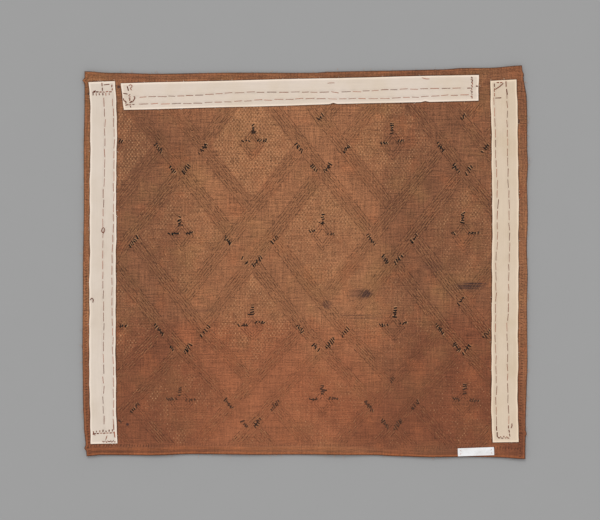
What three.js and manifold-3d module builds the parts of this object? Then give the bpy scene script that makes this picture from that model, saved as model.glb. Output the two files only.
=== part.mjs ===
// A raffia cloth lying flat with its wrong side up: a hemmed, embroidered panel, three cotton
// hanging tapes sewn along its upper, left and right sides, and a bare cloth label on its hem.
// Millimetres, +Z up. The cloth lies on the plane z = 0 with its upper edge towards +Y, and the
// origin is on that plane, under the middle of the cloth.

import * as THREE from "three";
import { mergeVertices } from "three/addons/utils/BufferGeometryUtils.js";
import Module from "manifold-3d";

// Thicknesses of the pieces, and the room left under what is sewn on
const SHEET_THICKNESS = 1.2;
const HEM_THICKNESS = 2.0;
const HEM_ROUNDING = 0.5;
const TAPE_THICKNESS = 1.0;
const LABEL_THICKNESS = 0.7;
const CUT_EDGE_ROUNDING = 0.2;
const SEWN_GAP = 0.3;
const CUT_OVERRUN = 1;

// Corners of the panel, which was never quite square
const CORNERS = {
  topLeft: new THREE.Vector2(-319, 276.5),
  topRight: new THREE.Vector2(314, 285),
  bottomRight: new THREE.Vector2(319, -285),
  bottomLeft: new THREE.Vector2(-316, -281),
};

// Edges of the panel, clockwise. Each row of bows says how far the edge stands out from the line
// between its corners, and a knot is a small lump where a folded hem ends.
const EDGES = {
  top: {
    from: "topLeft",
    to: "topRight",
    hem: 7,
    bows: [
      { at: 36, out: -2.6 },
      { at: 109, out: -5.0 },
      { at: 196, out: -4.7 },
      { at: 336, out: -6.4 },
      { at: 353, out: -5.3 },
      { at: 428, out: -4.9 },
      { at: 522, out: -4.1 },
      { at: 544, out: -2.5 },
      { at: 587, out: -2.7 },
    ],
    knots: [],
  },
  right: {
    from: "topRight",
    to: "bottomRight",
    hem: 8,
    bows: [
      { at: 20, out: 2.4 },
      { at: 43, out: 6.8 },
      { at: 64, out: 7.4 },
      { at: 122, out: 7.0 },
      { at: 144, out: 7.8 },
      { at: 169, out: 6.1 },
      { at: 214, out: 7.0 },
      { at: 267, out: 5.2 },
      { at: 304, out: 6.0 },
      { at: 347, out: 4.5 },
      { at: 430, out: 4.7 },
      { at: 473, out: 3.0 },
      { at: 511, out: 1.4 },
    ],
    knots: [
      { at: 13, out: 1.6 },
      { at: 533, out: 2.2 },
    ],
  },
  bottom: {
    from: "bottomRight",
    to: "bottomLeft",
    hem: 14,
    bows: [
      { at: 36, out: -1.8 },
      { at: 72, out: -2.5 },
      { at: 138, out: -1.5 },
      { at: 181, out: -2.4 },
      { at: 218, out: -4.1 },
      { at: 326, out: -4.2 },
      { at: 384, out: -3.6 },
      { at: 478, out: -4.0 },
      { at: 544, out: -1.7 },
      { at: 616, out: -1.8 },
    ],
    knots: [],
  },
  left: {
    from: "bottomLeft",
    to: "topLeft",
    hem: 5,
    bows: [
      { at: 20, out: 1.6 },
      { at: 38, out: 3.8 },
      { at: 81, out: 5.1 },
      { at: 148, out: 5.3 },
      { at: 255, out: 4.3 },
      { at: 371, out: 2.2 },
      { at: 443, out: 2.1 },
      { at: 516, out: 0.5 },
    ],
    knots: [
      { at: 12, out: 2.6 },
      { at: 544, out: 3.4 },
    ],
  },
};
const LONGEST_STEP = 15;
const KNOT_HALF_WIDTH = 2.2;
const KNOT_OFFSETS = [-4, -2, 0, 2, 4];

// The embroidered lattice: two sets of strands that slant across the cloth and pass over and under
// each other. Columns are even; the worker's rows close up towards the bottom. Column 0, row 0 is
// a crossing, and so is every place where column plus row is even; a small diamond fills the rest.
const COLUMN_PITCH = 102;
const COLUMN_ZERO = 25.5;
const ROWS = [
  { row: -1, y: 302 },
  { row: 0, y: 170 },
  { row: 1, y: 38 },
  { row: 2, y: -95 },
  { row: 3, y: -204 },
  { row: 4, y: -320 },
];
const FIRST_COLUMN = -2;
const LAST_COLUMN = 2;
const FIRST_ROW = 0;
const LAST_ROW = 3;

// A strand is two raised bands of close stitching beside a plain strip, sized in lattice steps
const STRAND_SPACING = 2;
const RISING_STRANDS = { first: -4, last: 6 };
const FALLING_STRANDS = { first: -6, last: 4 };
const BAND_INNER = 0.16;
const BAND_OUTER = 0.4;
const BAND_SLOPE = 0.025;
const RIB_HEIGHT = 0.4;
const RIB_ROOT = 0.3;
const DIAMOND_OUTER = 0.17;
const DIAMOND_INNER = 0.09;

// The stitching stops beside the tapes and above the lower hem
const FIELD = [
  new THREE.Vector2(-270, 218.5),
  new THREE.Vector2(267, 231.5),
  new THREE.Vector2(267, -264),
  new THREE.Vector2(-270, -264),
];

// Cotton tapes, each along a line from end to end. A drift row says how far the tape wanders to the
// right of that line, and a tuck is a small pleat that nips in its right-hand edge.
const TAPE_WIDTH = 38;
const TAPE_STEP = 30;
const TUCK_HALF_WIDTH = 6;
const TAPES = [
  {
    name: "tape_top",
    from: new THREE.Vector2(-264.3, 240),
    to: new THREE.Vector2(251.6, 252.6),
    startSlant: 4,
    endSlant: -1,
    drifts: [
      { at: 0, side: 0 },
      { at: 400, side: -0.3 },
      { at: 516, side: 0 },
    ],
    tucks: [
      { at: 305, depth: 1.8 },
      { at: 438, depth: 1.5 },
    ],
  },
  {
    name: "tape_left",
    from: new THREE.Vector2(-290.7, -262.3),
    to: new THREE.Vector2(-294.3, 261.5),
    startSlant: 0.5,
    endSlant: 1,
    drifts: [
      { at: 0, side: 0 },
      { at: 62, side: -1.7 },
      { at: 135, side: -1.5 },
      { at: 352, side: 0.7 },
      { at: 475, side: 2.5 },
      { at: 504, side: 2.2 },
      { at: 524, side: 0 },
    ],
    tucks: [],
  },
  {
    name: "tape_right",
    from: new THREE.Vector2(290.6, -260.7),
    to: new THREE.Vector2(287.5, 263.9),
    startSlant: 0.6,
    endSlant: 2,
    drifts: [
      { at: 0, side: 0 },
      { at: 60, side: -1.3 },
      { at: 124, side: -0.3 },
      { at: 347, side: 1.8 },
      { at: 474, side: 1.1 },
      { at: 524, side: 0 },
    ],
    tucks: [],
  },
];

// The bare label, sewn a little askew on the lower hem
const LABEL_LENGTH = 52.6;
const LABEL_WIDTH = 11.5;
const LABEL_CENTRE = new THREE.Vector2(247.6, -274.4);
const LABEL_TURN = THREE.MathUtils.degToRad(1.9);

const raffia = new THREE.MeshStandardMaterial({ color: 0x8d5d41, roughness: 0.85, metalness: 0 });
const cotton = new THREE.MeshStandardMaterial({ color: 0xdac9b6, roughness: 0.9, metalness: 0 });
const labelCotton = new THREE.MeshStandardMaterial({ color: 0xe6e3e0, roughness: 0.9, metalness: 0 });

const wasm = await Module();
wasm.setup();

// A closed geometry as a solid that can be joined and cut, and back again
function solidFrom(geometry) {
  geometry.deleteAttribute("normal");
  geometry.deleteAttribute("uv");
  const merged = mergeVertices(geometry, 1e-4);
  const mesh = new wasm.Mesh({
    numProp: 3,
    vertProperties: Float32Array.from(merged.attributes.position.array),
    triVerts: Uint32Array.from(merged.index.array),
  });
  return new wasm.Manifold(mesh);
}

function geometryFrom(solid) {
  const mesh = solid.getMesh();
  const geometry = new THREE.BufferGeometry();
  geometry.setAttribute("position", new THREE.BufferAttribute(mesh.vertProperties, 3));
  geometry.setIndex(new THREE.BufferAttribute(mesh.triVerts, 1));
  geometry.computeVertexNormals();
  return geometry;
}

// An outline raised from one height to another, its edges rounded if asked
function prism(points, low, high, rounding = 0) {
  const geometry = new THREE.ExtrudeGeometry(new THREE.Shape(points), {
    depth: high - low - 2 * rounding,
    bevelEnabled: rounding > 0,
    bevelThickness: rounding,
    bevelSize: rounding,
    bevelOffset: -rounding,
    bevelSegments: 1,
  });
  return geometry.translate(0, 0, low + rounding);
}

// A table's column at any place between its rows, in soft waves
function waveThrough(rows, column, at) {
  const next = rows.findIndex((row) => row.at > at);
  if (next === -1) {
    return rows[rows.length - 1][column];
  }
  const before = rows[next - 1];
  const after = rows[next];
  const share = THREE.MathUtils.smoothstep(at, before.at, after.at);
  return THREE.MathUtils.lerp(before[column], after[column], share);
}

// The marks along a length, with even steps added between them
function steppedMarks(marks, longestStep) {
  const sorted = marks.toSorted((a, b) => a - b);
  const stepped = sorted.slice(0, -1).flatMap((mark, i) => {
    const span = sorted[i + 1] - mark;
    const steps = Math.ceil(span / longestStep);
    return Array.from({ length: steps }, (_, step) => mark + (span * step) / steps);
  });
  return [...stepped, sorted[sorted.length - 1]];
}

function leftOf(direction) {
  return new THREE.Vector2(-direction.y, direction.x);
}

// The panel's outline, or the line that its hem folds back to when each hem's width is taken off
function panelOutline(hemTaken) {
  const edges = Object.values(EDGES);
  const outward = edges.map((edge) => {
    const along = CORNERS[edge.to].clone().sub(CORNERS[edge.from]);
    return leftOf(along.normalize());
  });
  const starts = edges.map((edge, i) => {
    const previous = (i + edges.length - 1) % edges.length;
    return CORNERS[edge.from]
      .clone()
      .addScaledVector(outward[i], -edge.hem * hemTaken)
      .addScaledVector(outward[previous], -edges[previous].hem * hemTaken);
  });
  return edges.flatMap((edge, i) => {
    const length = CORNERS[edge.from].distanceTo(CORNERS[edge.to]);
    const rows = [{ at: 0, out: 0 }, ...edge.bows, { at: length, out: 0 }];
    const knots = hemTaken ? [] : edge.knots;
    const knotMarks = knots.flatMap((knot) => KNOT_OFFSETS.map((offset) => knot.at + offset));
    const lumpAt = (knot, at) => knot.out * Math.exp(-(((at - knot.at) / KNOT_HALF_WIDTH) ** 2));
    const marks = steppedMarks([...rows.map((row) => row.at), ...knotMarks], LONGEST_STEP);
    const end = starts[(i + 1) % edges.length];
    return marks.slice(0, -1).map((at) => {
      const out = knots.reduce((sum, knot) => sum + lumpAt(knot, at), waveThrough(rows, "out", at));
      return starts[i].clone().lerp(end, at / length).addScaledVector(outward[i], out);
    });
  });
}

// A place in the lattice, in columns and rows, as a point on the cloth
function latticePoint(column, row) {
  const next = Math.min(Math.max(ROWS.findIndex((entry) => entry.row > row), 1), ROWS.length - 1);
  const before = ROWS[next - 1];
  const after = ROWS[next];
  const share = (row - before.row) / (after.row - before.row);
  return new THREE.Vector2(
    COLUMN_ZERO + COLUMN_PITCH * column,
    THREE.MathUtils.lerp(before.y, after.y, share),
  );
}

// Rising strands keep column plus row, falling ones column minus row. Both are at even numbers, and
// these are the numbers where the height of a strand's section changes.
function strandLines({ first, last }) {
  const offsets = [
    BAND_INNER - BAND_SLOPE,
    BAND_INNER,
    BAND_OUTER,
    BAND_OUTER + BAND_SLOPE,
    BAND_OUTER + 2 * BAND_SLOPE,
  ];
  const lines = [];
  for (let strand = first; strand <= last; strand += STRAND_SPACING) {
    lines.push(...offsets.map((offset) => strand - offset).reverse());
    lines.push(...offsets.map((offset) => strand + offset));
  }
  return lines;
}

function nearestStrand(number) {
  return Math.round(number / STRAND_SPACING);
}

function awayFromStrand(number) {
  return Math.abs(number - STRAND_SPACING * nearestStrand(number));
}

function inBand(number) {
  const away = awayFromStrand(number);
  return away > BAND_INNER - BAND_SLOPE / 2 && away < BAND_OUTER + BAND_SLOPE / 2;
}

function inCrossing(number) {
  return awayFromStrand(number) < BAND_OUTER + 1.5 * BAND_SLOPE;
}

// At a crossing only the strand on top is raised, and the top one alternates
function isRaised(rising, falling) {
  if (inCrossing(rising) && inCrossing(falling)) {
    const crossing = nearestStrand(rising) + nearestStrand(falling);
    return crossing % 2 === 0 ? inBand(falling) : inBand(rising);
  }
  return inBand(rising) || inBand(falling);
}

// The raised bands as one closed slab, which sinks into the sheet wherever no band runs
function bandSlab() {
  const risingLines = strandLines(RISING_STRANDS);
  const fallingLines = strandLines(FALLING_STRANDS);
  const floor = SHEET_THICKNESS / 2;
  const positions = [];
  for (const rising of risingLines) {
    for (const falling of fallingLines) {
      const point = latticePoint((rising + falling) / 2, (rising - falling) / 2);
      const lift = isRaised(rising, falling) ? RIB_HEIGHT : -RIB_ROOT;
      positions.push(point.x, point.y, SHEET_THICKNESS + lift);
      positions.push(point.x, point.y, floor);
    }
  }
  const width = fallingLines.length;
  const corner = (i, j, under) => 2 * (i * width + j) + under;
  const triangles = [];
  const addQuad = (a, b, c, d) => triangles.push(a, b, c, a, c, d);
  const lastRising = risingLines.length - 1;
  const lastFalling = width - 1;
  for (let i = 0; i < lastRising; i += 1) {
    for (let j = 0; j < lastFalling; j += 1) {
      addQuad(corner(i, j, 0), corner(i + 1, j, 0), corner(i + 1, j + 1, 0), corner(i, j + 1, 0));
      addQuad(corner(i, j, 1), corner(i, j + 1, 1), corner(i + 1, j + 1, 1), corner(i + 1, j, 1));
    }
    addQuad(corner(i, 0, 0), corner(i, 0, 1), corner(i + 1, 0, 1), corner(i + 1, 0, 0));
    addQuad(
      corner(i + 1, lastFalling, 0),
      corner(i + 1, lastFalling, 1),
      corner(i, lastFalling, 1),
      corner(i, lastFalling, 0),
    );
  }
  for (let j = 0; j < lastFalling; j += 1) {
    addQuad(corner(0, j + 1, 0), corner(0, j + 1, 1), corner(0, j, 1), corner(0, j, 0));
    addQuad(
      corner(lastRising, j, 0),
      corner(lastRising, j, 1),
      corner(lastRising, j + 1, 1),
      corner(lastRising, j + 1, 0),
    );
  }
  const geometry = new THREE.BufferGeometry();
  geometry.setAttribute("position", new THREE.Float32BufferAttribute(positions, 3));
  geometry.setIndex(triangles);
  return geometry;
}

// The small stitched diamonds between the crossings
function diamondCorners(column, row, size) {
  return [
    latticePoint(column - size, row),
    latticePoint(column, row - size),
    latticePoint(column + size, row),
    latticePoint(column, row + size),
  ];
}

function diamondFrames() {
  const frames = [];
  for (let row = FIRST_ROW; row <= LAST_ROW; row += 1) {
    for (let column = FIRST_COLUMN; column <= LAST_COLUMN; column += 1) {
      if ((column + row) % 2 !== 0) {
        const low = SHEET_THICKNESS - RIB_ROOT;
        const high = SHEET_THICKNESS + RIB_HEIGHT;
        const outer = solidFrom(prism(diamondCorners(column, row, DIAMOND_OUTER), low, high));
        const inner = solidFrom(prism(diamondCorners(column, row, DIAMOND_INNER), 0, high + CUT_OVERRUN));
        frames.push(outer.subtract(inner));
      }
    }
  }
  return frames;
}

// The cloth is as thick as its hem at first; the inside is lowered to the bare sheet, and the
// stitched lattice is raised on it
function clothGeometry() {
  const blank = solidFrom(prism(panelOutline(0), 0, HEM_THICKNESS, HEM_ROUNDING));
  const inside = solidFrom(prism(panelOutline(1), SHEET_THICKNESS, HEM_THICKNESS + CUT_OVERRUN));
  const field = solidFrom(prism(FIELD, 0, HEM_THICKNESS + CUT_OVERRUN));
  const bands = solidFrom(bandSlab()).intersect(field);
  const sheet = blank.subtract(inside).add(bands);
  const cloth = diamondFrames().reduce((joined, frame) => joined.add(frame), sheet);
  return geometryFrom(cloth);
}

// A tape's outline, up one edge and back down the other
function tapeOutline(tape) {
  const length = tape.from.distanceTo(tape.to);
  const along = tape.to.clone().sub(tape.from).divideScalar(length);
  const left = leftOf(along);
  const tuckOffsets = [-TUCK_HALF_WIDTH, 0, TUCK_HALF_WIDTH];
  const tuckMarks = tape.tucks.flatMap((tuck) => tuckOffsets.map((offset) => tuck.at + offset));
  const marks = steppedMarks([0, ...tuckMarks, length], TAPE_STEP);
  const slants = { 0: tape.startSlant, [marks.length - 1]: tape.endSlant };
  const nipAt = (tuck, at) => tuck.depth * Math.max(0, 1 - Math.abs(at - tuck.at) / TUCK_HALF_WIDTH);
  const edge = (side) =>
    marks.map((at, i) => {
      const nip = side < 0 ? tape.tucks.reduce((sum, tuck) => sum + nipAt(tuck, at), 0) : 0;
      const slant = ((slants[i] ?? 0) * -side) / 2;
      const out = side * (TAPE_WIDTH / 2 - nip) - waveThrough(tape.drifts, "side", at);
      return tape.from.clone().addScaledVector(along, at + slant).addScaledVector(left, out);
    });
  return [...edge(1), ...edge(-1).reverse()];
}

function labelOutline() {
  const corners = [
    new THREE.Vector2(-1, -1),
    new THREE.Vector2(1, -1),
    new THREE.Vector2(1, 1),
    new THREE.Vector2(-1, 1),
  ];
  const half = new THREE.Vector2(LABEL_LENGTH / 2, LABEL_WIDTH / 2);
  const middle = new THREE.Vector2(0, 0);
  return corners.map((corner) => corner.multiply(half).rotateAround(middle, LABEL_TURN).add(LABEL_CENTRE));
}

function named(name, geometry, material) {
  const mesh = new THREE.Mesh(geometry, material);
  mesh.name = name;
  return mesh;
}

const raffiaCloth = new THREE.Group();
raffiaCloth.add(named("cloth", clothGeometry(), raffia));

const tapeUnderside = SHEET_THICKNESS + SEWN_GAP;
for (const tape of TAPES) {
  const top = tapeUnderside + TAPE_THICKNESS;
  const geometry = prism(tapeOutline(tape), tapeUnderside, top, CUT_EDGE_ROUNDING);
  raffiaCloth.add(named(tape.name, geometry, cotton));
}

const labelUnderside = HEM_THICKNESS + SEWN_GAP;
const labelTop = labelUnderside + LABEL_THICKNESS;
const labelGeometry = prism(labelOutline(), labelUnderside, labelTop, CUT_EDGE_ROUNDING);
raffiaCloth.add(named("label", labelGeometry, labelCotton));

export default raffiaCloth;
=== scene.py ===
# %% [markdown]
# # A raffia cloth, lying wrong side up
# The packed solids give a flat sheet with its stitched lattice in low relief, three hanging tapes and a
# small label. This lesson lays real cloth over them: a woven sheet with a folded hem and soft creases,
# thousands of small stitches, black raffia floats, and cotton tapes that are sewn on by hand.

# %% Load the solids
import math

import bpy
import numpy as np
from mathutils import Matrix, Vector
from mathutils.bvhtree import BVHTree


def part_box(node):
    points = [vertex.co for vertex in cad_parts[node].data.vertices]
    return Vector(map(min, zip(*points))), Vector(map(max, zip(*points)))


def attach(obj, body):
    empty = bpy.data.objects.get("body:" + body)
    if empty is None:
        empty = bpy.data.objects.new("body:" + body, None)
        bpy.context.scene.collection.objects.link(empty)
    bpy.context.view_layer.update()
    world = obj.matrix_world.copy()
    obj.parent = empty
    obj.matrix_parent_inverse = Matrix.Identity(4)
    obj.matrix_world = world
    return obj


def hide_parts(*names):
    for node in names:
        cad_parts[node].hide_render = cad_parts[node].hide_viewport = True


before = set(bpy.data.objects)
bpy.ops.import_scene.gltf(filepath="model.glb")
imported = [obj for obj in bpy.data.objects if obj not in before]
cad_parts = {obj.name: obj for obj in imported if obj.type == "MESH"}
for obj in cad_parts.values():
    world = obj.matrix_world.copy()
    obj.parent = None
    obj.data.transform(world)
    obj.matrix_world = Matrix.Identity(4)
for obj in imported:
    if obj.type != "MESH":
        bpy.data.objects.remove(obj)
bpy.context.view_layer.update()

# %% [markdown]
# ## Camera, floor and light
# The photograph looks straight down, so the camera hangs over the cloth with a long lens. An even sky gives
# the narrow shadow all round the cloth, and a soft sun from above the upper edge deepens it at the lower one.
# An area light would do as well, but its light falls off across a cloth this wide, and a sun's doesn't.

# %% Camera
MM = 0.001
VIEW_WIDTH = 0.870
VIEW_CENTRE = (-0.0071, 0.0032)
LENS = 85.0
SENSOR = 36.0


def place_object(name, data):
    """A new object in the scene with the given mesh, camera or light."""
    made = bpy.data.objects.new(name, data)
    bpy.context.collection.objects.link(made)
    return made


camera = place_object("overhead_camera", bpy.data.cameras.new("overhead_camera"))
camera.data.lens = LENS
camera.data.sensor_width = SENSOR
camera.data.sensor_fit = "HORIZONTAL"
camera.location = (*VIEW_CENTRE, VIEW_WIDTH * LENS / SENSOR)
bpy.context.scene.camera = camera
print("camera height in metres:", round(camera.location.z, 3))

# %% Light
SKY_STRENGTH = 0.70
SUN_STRENGTH = 0.99
SUN_SPREAD = math.radians(30)
SUN_TRAVEL = Vector((0.14, -0.62, -0.78))

sun = place_object("studio_sun", bpy.data.lights.new("studio_sun", "SUN"))
sun.data.energy = SUN_STRENGTH
sun.data.angle = SUN_SPREAD
sun.rotation_euler = SUN_TRAVEL.to_track_quat("-Z", "Y").to_euler()

sky = bpy.data.worlds.new("studio_sky")
sky.use_nodes = True
background = sky.node_tree.nodes["Background"]
background.inputs["Color"].default_value = (1.0, 1.0, 1.0, 1.0)
background.inputs["Strength"].default_value = SKY_STRENGTH
bpy.context.scene.world = sky
bpy.context.scene.view_settings.view_transform = "Standard"
print("sun height in degrees:", round(math.degrees(math.asin(-SUN_TRAVEL.normalized().z))))

# %% [markdown]
# ## Shader sums in plain Python
# Node trees are slow to read when every sum is four lines of node calls. A small class wraps a socket, so
# that an expression such as `1 - stain * 0.4` adds its own Math nodes. Colours go through Mix nodes.

# %% Wire, a socket that can be reckoned with
class Wire:
    """A shader socket, or just a node tree while no socket is made yet."""

    def __init__(self, tree, socket=None):
        self.tree = tree
        self.socket = socket

    def node(self, kind, settings=None, inputs=None, output=0):
        made = self.tree.nodes.new(kind)
        for name, value in (settings or {}).items():
            setattr(made, name, value)
        for name, value in (inputs or {}).items():
            if isinstance(value, Wire):
                self.tree.links.new(value.socket, made.inputs[name])
            else:
                made.inputs[name].default_value = value
        return Wire(self.tree, made.outputs[output])

    def sum(self, operation, *values):
        return self.node("ShaderNodeMath", {"operation": operation}, dict(enumerate(values)))

    def __add__(self, other):
        return self.sum("ADD", self, other)

    def __radd__(self, other):
        return self.sum("ADD", other, self)

    def __sub__(self, other):
        return self.sum("SUBTRACT", self, other)

    def __rsub__(self, other):
        return self.sum("SUBTRACT", other, self)

    def __mul__(self, other):
        return self.sum("MULTIPLY", self, other)

    def __truediv__(self, other):
        return self.sum("DIVIDE", self, other)

    def __pow__(self, other):
        return self.sum("POWER", self, other)

    def sine(self):
        return self.sum("SINE", self)

    def rise(self, low, high):
        """0 below low, 1 above high, with a soft ramp between."""
        limits = {"Value": self, "From Min": low, "From Max": high}
        return self.node("ShaderNodeMapRange", {"interpolation_type": "SMOOTHSTEP"}, limits)

    def part(self, axis):
        """One part of a place: X, Y or Z."""
        return self.node("ShaderNodeSeparateXYZ", None, {0: self}, axis)

    def mark(self, name):
        """A named value that the corners of the piece carry."""
        return self.node("ShaderNodeAttribute", {"attribute_name": name}, None, "Fac")

    def stretch(self, factors):
        return self.node("ShaderNodeVectorMath", {"operation": "MULTIPLY"}, {0: self, 1: factors})

    def noise(self, scale, detail=2.0, roughness=0.5):
        inputs = {"Vector": self, "Scale": scale, "Detail": detail, "Roughness": roughness}
        return self.node("ShaderNodeTexNoise", None, inputs)

    def blend(self, share, first, second, kind="MIX"):
        settings = {"data_type": "RGBA", "blend_type": kind}
        return self.node("ShaderNodeMix", settings, {0: share, 6: first, 7: second}, 2)

    def shade(self, colour, grey):
        """A colour made lighter or darker by a grey value."""
        return self.blend(1.0, colour, grey, "MULTIPLY")


print("sums on a wire:", [name for name in vars(Wire) if not name.startswith("_")])


# %% Start a finish
def colour_of(red, green, blue):
    """A shown colour, 0 to 255, as the linear colour that a shader takes."""
    shown = np.array([red, green, blue]) / 255
    linear = np.where(shown <= 0.04045, shown / 12.92, ((shown + 0.055) / 1.055) ** 2.4)
    return (*(float(part) for part in linear), 1.0)


def start_finish(name, shine=0.2, sheen=0.0):
    """A new material: its tree to add nodes to, its shader, and places on the piece in millimetres."""
    material = bpy.data.materials.new(name)
    material.use_nodes = True
    shader = material.node_tree.nodes["Principled BSDF"]
    shader.inputs["Specular IOR Level"].default_value = shine
    shader.inputs["Sheen Weight"].default_value = sheen
    paint = Wire(material.node_tree)
    place = paint.node("ShaderNodeTexCoord", None, None, "Object").stretch((1 / MM, 1 / MM, 1 / MM))
    return material, paint, shader, place


def lay_finish(paint, shader, colour, roughness, height=None, depth=0.1, strength=0.5):
    """Feeds the shader: colour, roughness and, where given, a bump of depth millimetres."""
    paint.tree.links.new(colour.socket, shader.inputs["Base Color"])
    paint.tree.links.new(roughness.socket, shader.inputs["Roughness"])
    if height is not None:
        inputs = {"Strength": strength, "Distance": depth * MM, "Height": height}
        bump = paint.node("ShaderNodeBump", None, inputs)
        paint.tree.links.new(bump.socket, shader.inputs["Normal"])


print("mid grey as a linear colour:", colour_of(128, 128, 128))

# %% Floor
FLOOR_SIZE = 40.0
FLOOR_DROP = 0.0003
FLOOR_GREY = (163, 163, 163)

floor_mesh = bpy.data.meshes.new("studio_floor")
half = FLOOR_SIZE / 2
floor_corners = [(x * half, y * half, -FLOOR_DROP) for x, y in ((-1, -1), (1, -1), (1, 1), (-1, 1))]
floor_mesh.from_pydata(floor_corners, [], [(0, 1, 2, 3)])
floor = place_object("studio_floor", floor_mesh)

floor_finish, paint, shader, place = start_finish("studio_paper", shine=0.05)
mottle = place.noise(0.02)
paper = paint.shade(colour_of(*FLOOR_GREY), 0.99 + mottle * 0.02)
lay_finish(paint, shader, paper, 0.85 + mottle * 0.1)
floor.data.materials.append(floor_finish)
print("floor laid", FLOOR_DROP / MM, "mm under the cloth")

# %% [markdown]
# ## The plan of each flat piece
# Hand-cut cloth is never a true rectangle. The solids already hold the uneven outlines, so each piece reads
# its outline from its own solid, splits it at the four corners into sides, and fills the space between
# them with a grid. A grid, and not a filled polygon, gives even cells to shape later on.

# %% Outline and sides of a node
def rim(node):
    """The widest outline of a flat node, in millimetres, anticlockwise from above."""
    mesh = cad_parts[node].data
    corners = [tuple(round(number / MM, 2) for number in vertex.co) for vertex in mesh.vertices]
    level = sorted({corner[2] for corner in corners})[1]
    beside = {}
    for edge in mesh.edges:
        first, second = (corners[index] for index in edge.vertices)
        if first != second and first[2] == second[2] == level:
            beside.setdefault(first, set()).add(second)
            beside.setdefault(second, set()).add(first)
    walk = [min(beside)]
    while True:
        onward = [corner for corner in sorted(beside[walk[-1]]) if corner not in walk[-2:]]
        if onward[0] == walk[0] or (len(walk) > 2 and walk[0] in onward):
            break
        walk.append(onward[0])
    outline = np.array(walk)[:, :2]
    turned = np.roll(outline, -1, axis=0)
    area = np.sum(outline[:, 0] * turned[:, 1] - turned[:, 0] * outline[:, 1])
    return outline if area > 0 else outline[::-1]


def four_sides(outline):
    """Bottom, right, top and left, each running to the right or upwards."""
    low, high = outline.min(axis=0), outline.max(axis=0)
    boxed = [(low[0], low[1]), (high[0], low[1]), (high[0], high[1]), (low[0], high[1])]
    turns = [int(np.argmin(np.linalg.norm(outline - corner, axis=1))) for corner in boxed]
    rolled = np.roll(outline, -turns[0], axis=0)
    ends = [(turn - turns[0]) % len(outline) for turn in turns] + [len(outline)]
    looped = np.concatenate([rolled, rolled[:1]])
    bottom, right, top, left = (looped[start:stop + 1] for start, stop in zip(ends, ends[1:]))
    return bottom, right, top[::-1], left[::-1]


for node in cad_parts:
    print(node, "outline points:", len(rim(node)))


# %% Grid between the sides
def along(side, shares):
    """Points at the given shares of a side's length."""
    steps = np.linalg.norm(np.diff(side, axis=0), axis=1)
    walked = np.concatenate([[0.0], np.cumsum(steps)]) / steps.sum()
    return np.stack([np.interp(shares, walked, side[:, axis]) for axis in (0, 1)], axis=-1)


def plan_grid(node, across, upward):
    """A grid of points that fills the outline between its four sides."""
    bottom, right, top, left = four_sides(rim(node))
    low = along(bottom, across)[:, None]
    high = along(top, across)[:, None]
    near = along(left, upward)[None]
    far = along(right, upward)[None]
    u = across[:, None, None]
    v = upward[None, :, None]
    corners = (1 - u) * ((1 - v) * bottom[0] + v * top[0]) + u * ((1 - v) * bottom[-1] + v * top[-1])
    return (1 - v) * low + v * high + (1 - u) * near + u * far - corners


def stations(length, step, rim_steps):
    """Shares of a length: fine at both ends, then even steps between."""
    fine = np.cumsum([0.0, *rim_steps])
    cells = max(2, round((length - 2 * fine[-1]) / step))
    middle = np.linspace(fine[-1], length - fine[-1], cells + 1)
    return np.concatenate([fine[:-1], middle, length - fine[-2::-1]]) / length


def flat_size(node):
    """How far a node reaches in x and in y, in millimetres."""
    low, high = (np.array(corner)[:2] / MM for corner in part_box(node))
    return high - low


print("cloth size in millimetres:", flat_size("cloth").round(1))

# %% [markdown]
# ## The stitched lattice
# The pattern is a common one for such cloths: two sets of slanting strands, each strand a pair of stitched
# bands, pass over and under one another, and a small diamond fills each space. Both sets are numbered, so
# that a strand lies at each even number, and a point's two numbers tell what is stitched there.

# %% Lattice numbers
COLUMN_PITCH = 102.0
COLUMN_ZERO = 25.5
ROW_PLACES = {-1: 302.0, 0: 170.0, 1: 38.0, 2: -95.0, 3: -204.0, 4: -320.0}
LATTICE_COLUMNS = range(-3, 4)
LATTICE_ROWS = range(0, 4)


def strand_numbers(spots):
    """The rising and the falling numbers of points."""
    column = (spots[..., 0] - COLUMN_ZERO) / COLUMN_PITCH
    row = np.interp(-spots[..., 1], [-place for place in ROW_PLACES.values()], list(ROW_PLACES))
    return column + row, column - row


def lattice_point(rising, falling):
    """The points, in millimetres, that have these two numbers."""
    x = COLUMN_ZERO + COLUMN_PITCH * (rising + falling) / 2
    y = np.interp((rising - falling) / 2, list(ROW_PLACES), list(ROW_PLACES.values()))
    return np.stack([x, y], axis=-1)


def panel_point(column, row):
    """The point, in millimetres, at a lattice column and row."""
    return lattice_point(column + row, column - row)


places = [(column, row) for column in LATTICE_COLUMNS for row in LATTICE_ROWS]
crossings = [(column, row) for column, row in places if (column + row) % 2 == 0]
diamonds = [(column, row) for column, row in places if (column + row) % 2]
print("crossings:", len(crossings), "small diamonds:", len(diamonds))

# %% Bands over and under
BAND_INNER = 0.16
BAND_OUTER = 0.40
BAND_SOFT = 0.03
DIAMOND_ROOM = 0.20


def smooth(low, high, value):
    """0 up to low, 1 from high on, with a soft ramp between."""
    share = np.clip((value - low) / (high - low), 0, 1)
    return share * share * (3 - 2 * share)


def nearest_strand(number):
    return 2 * np.round(number / 2)


def band_share(number):
    """1 on the stitched bands of one set of strands, 0 off them."""
    off = np.abs(number - nearest_strand(number))
    return smooth(BAND_INNER - BAND_SOFT, BAND_INNER, off) * smooth(BAND_OUTER + BAND_SOFT, BAND_OUTER, off)


def falling_on_top(rising, falling):
    """True where the falling strand is the upper one at the crossing nearby."""
    return (nearest_strand(rising) + nearest_strand(falling)) / 2 % 2 == 0


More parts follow.
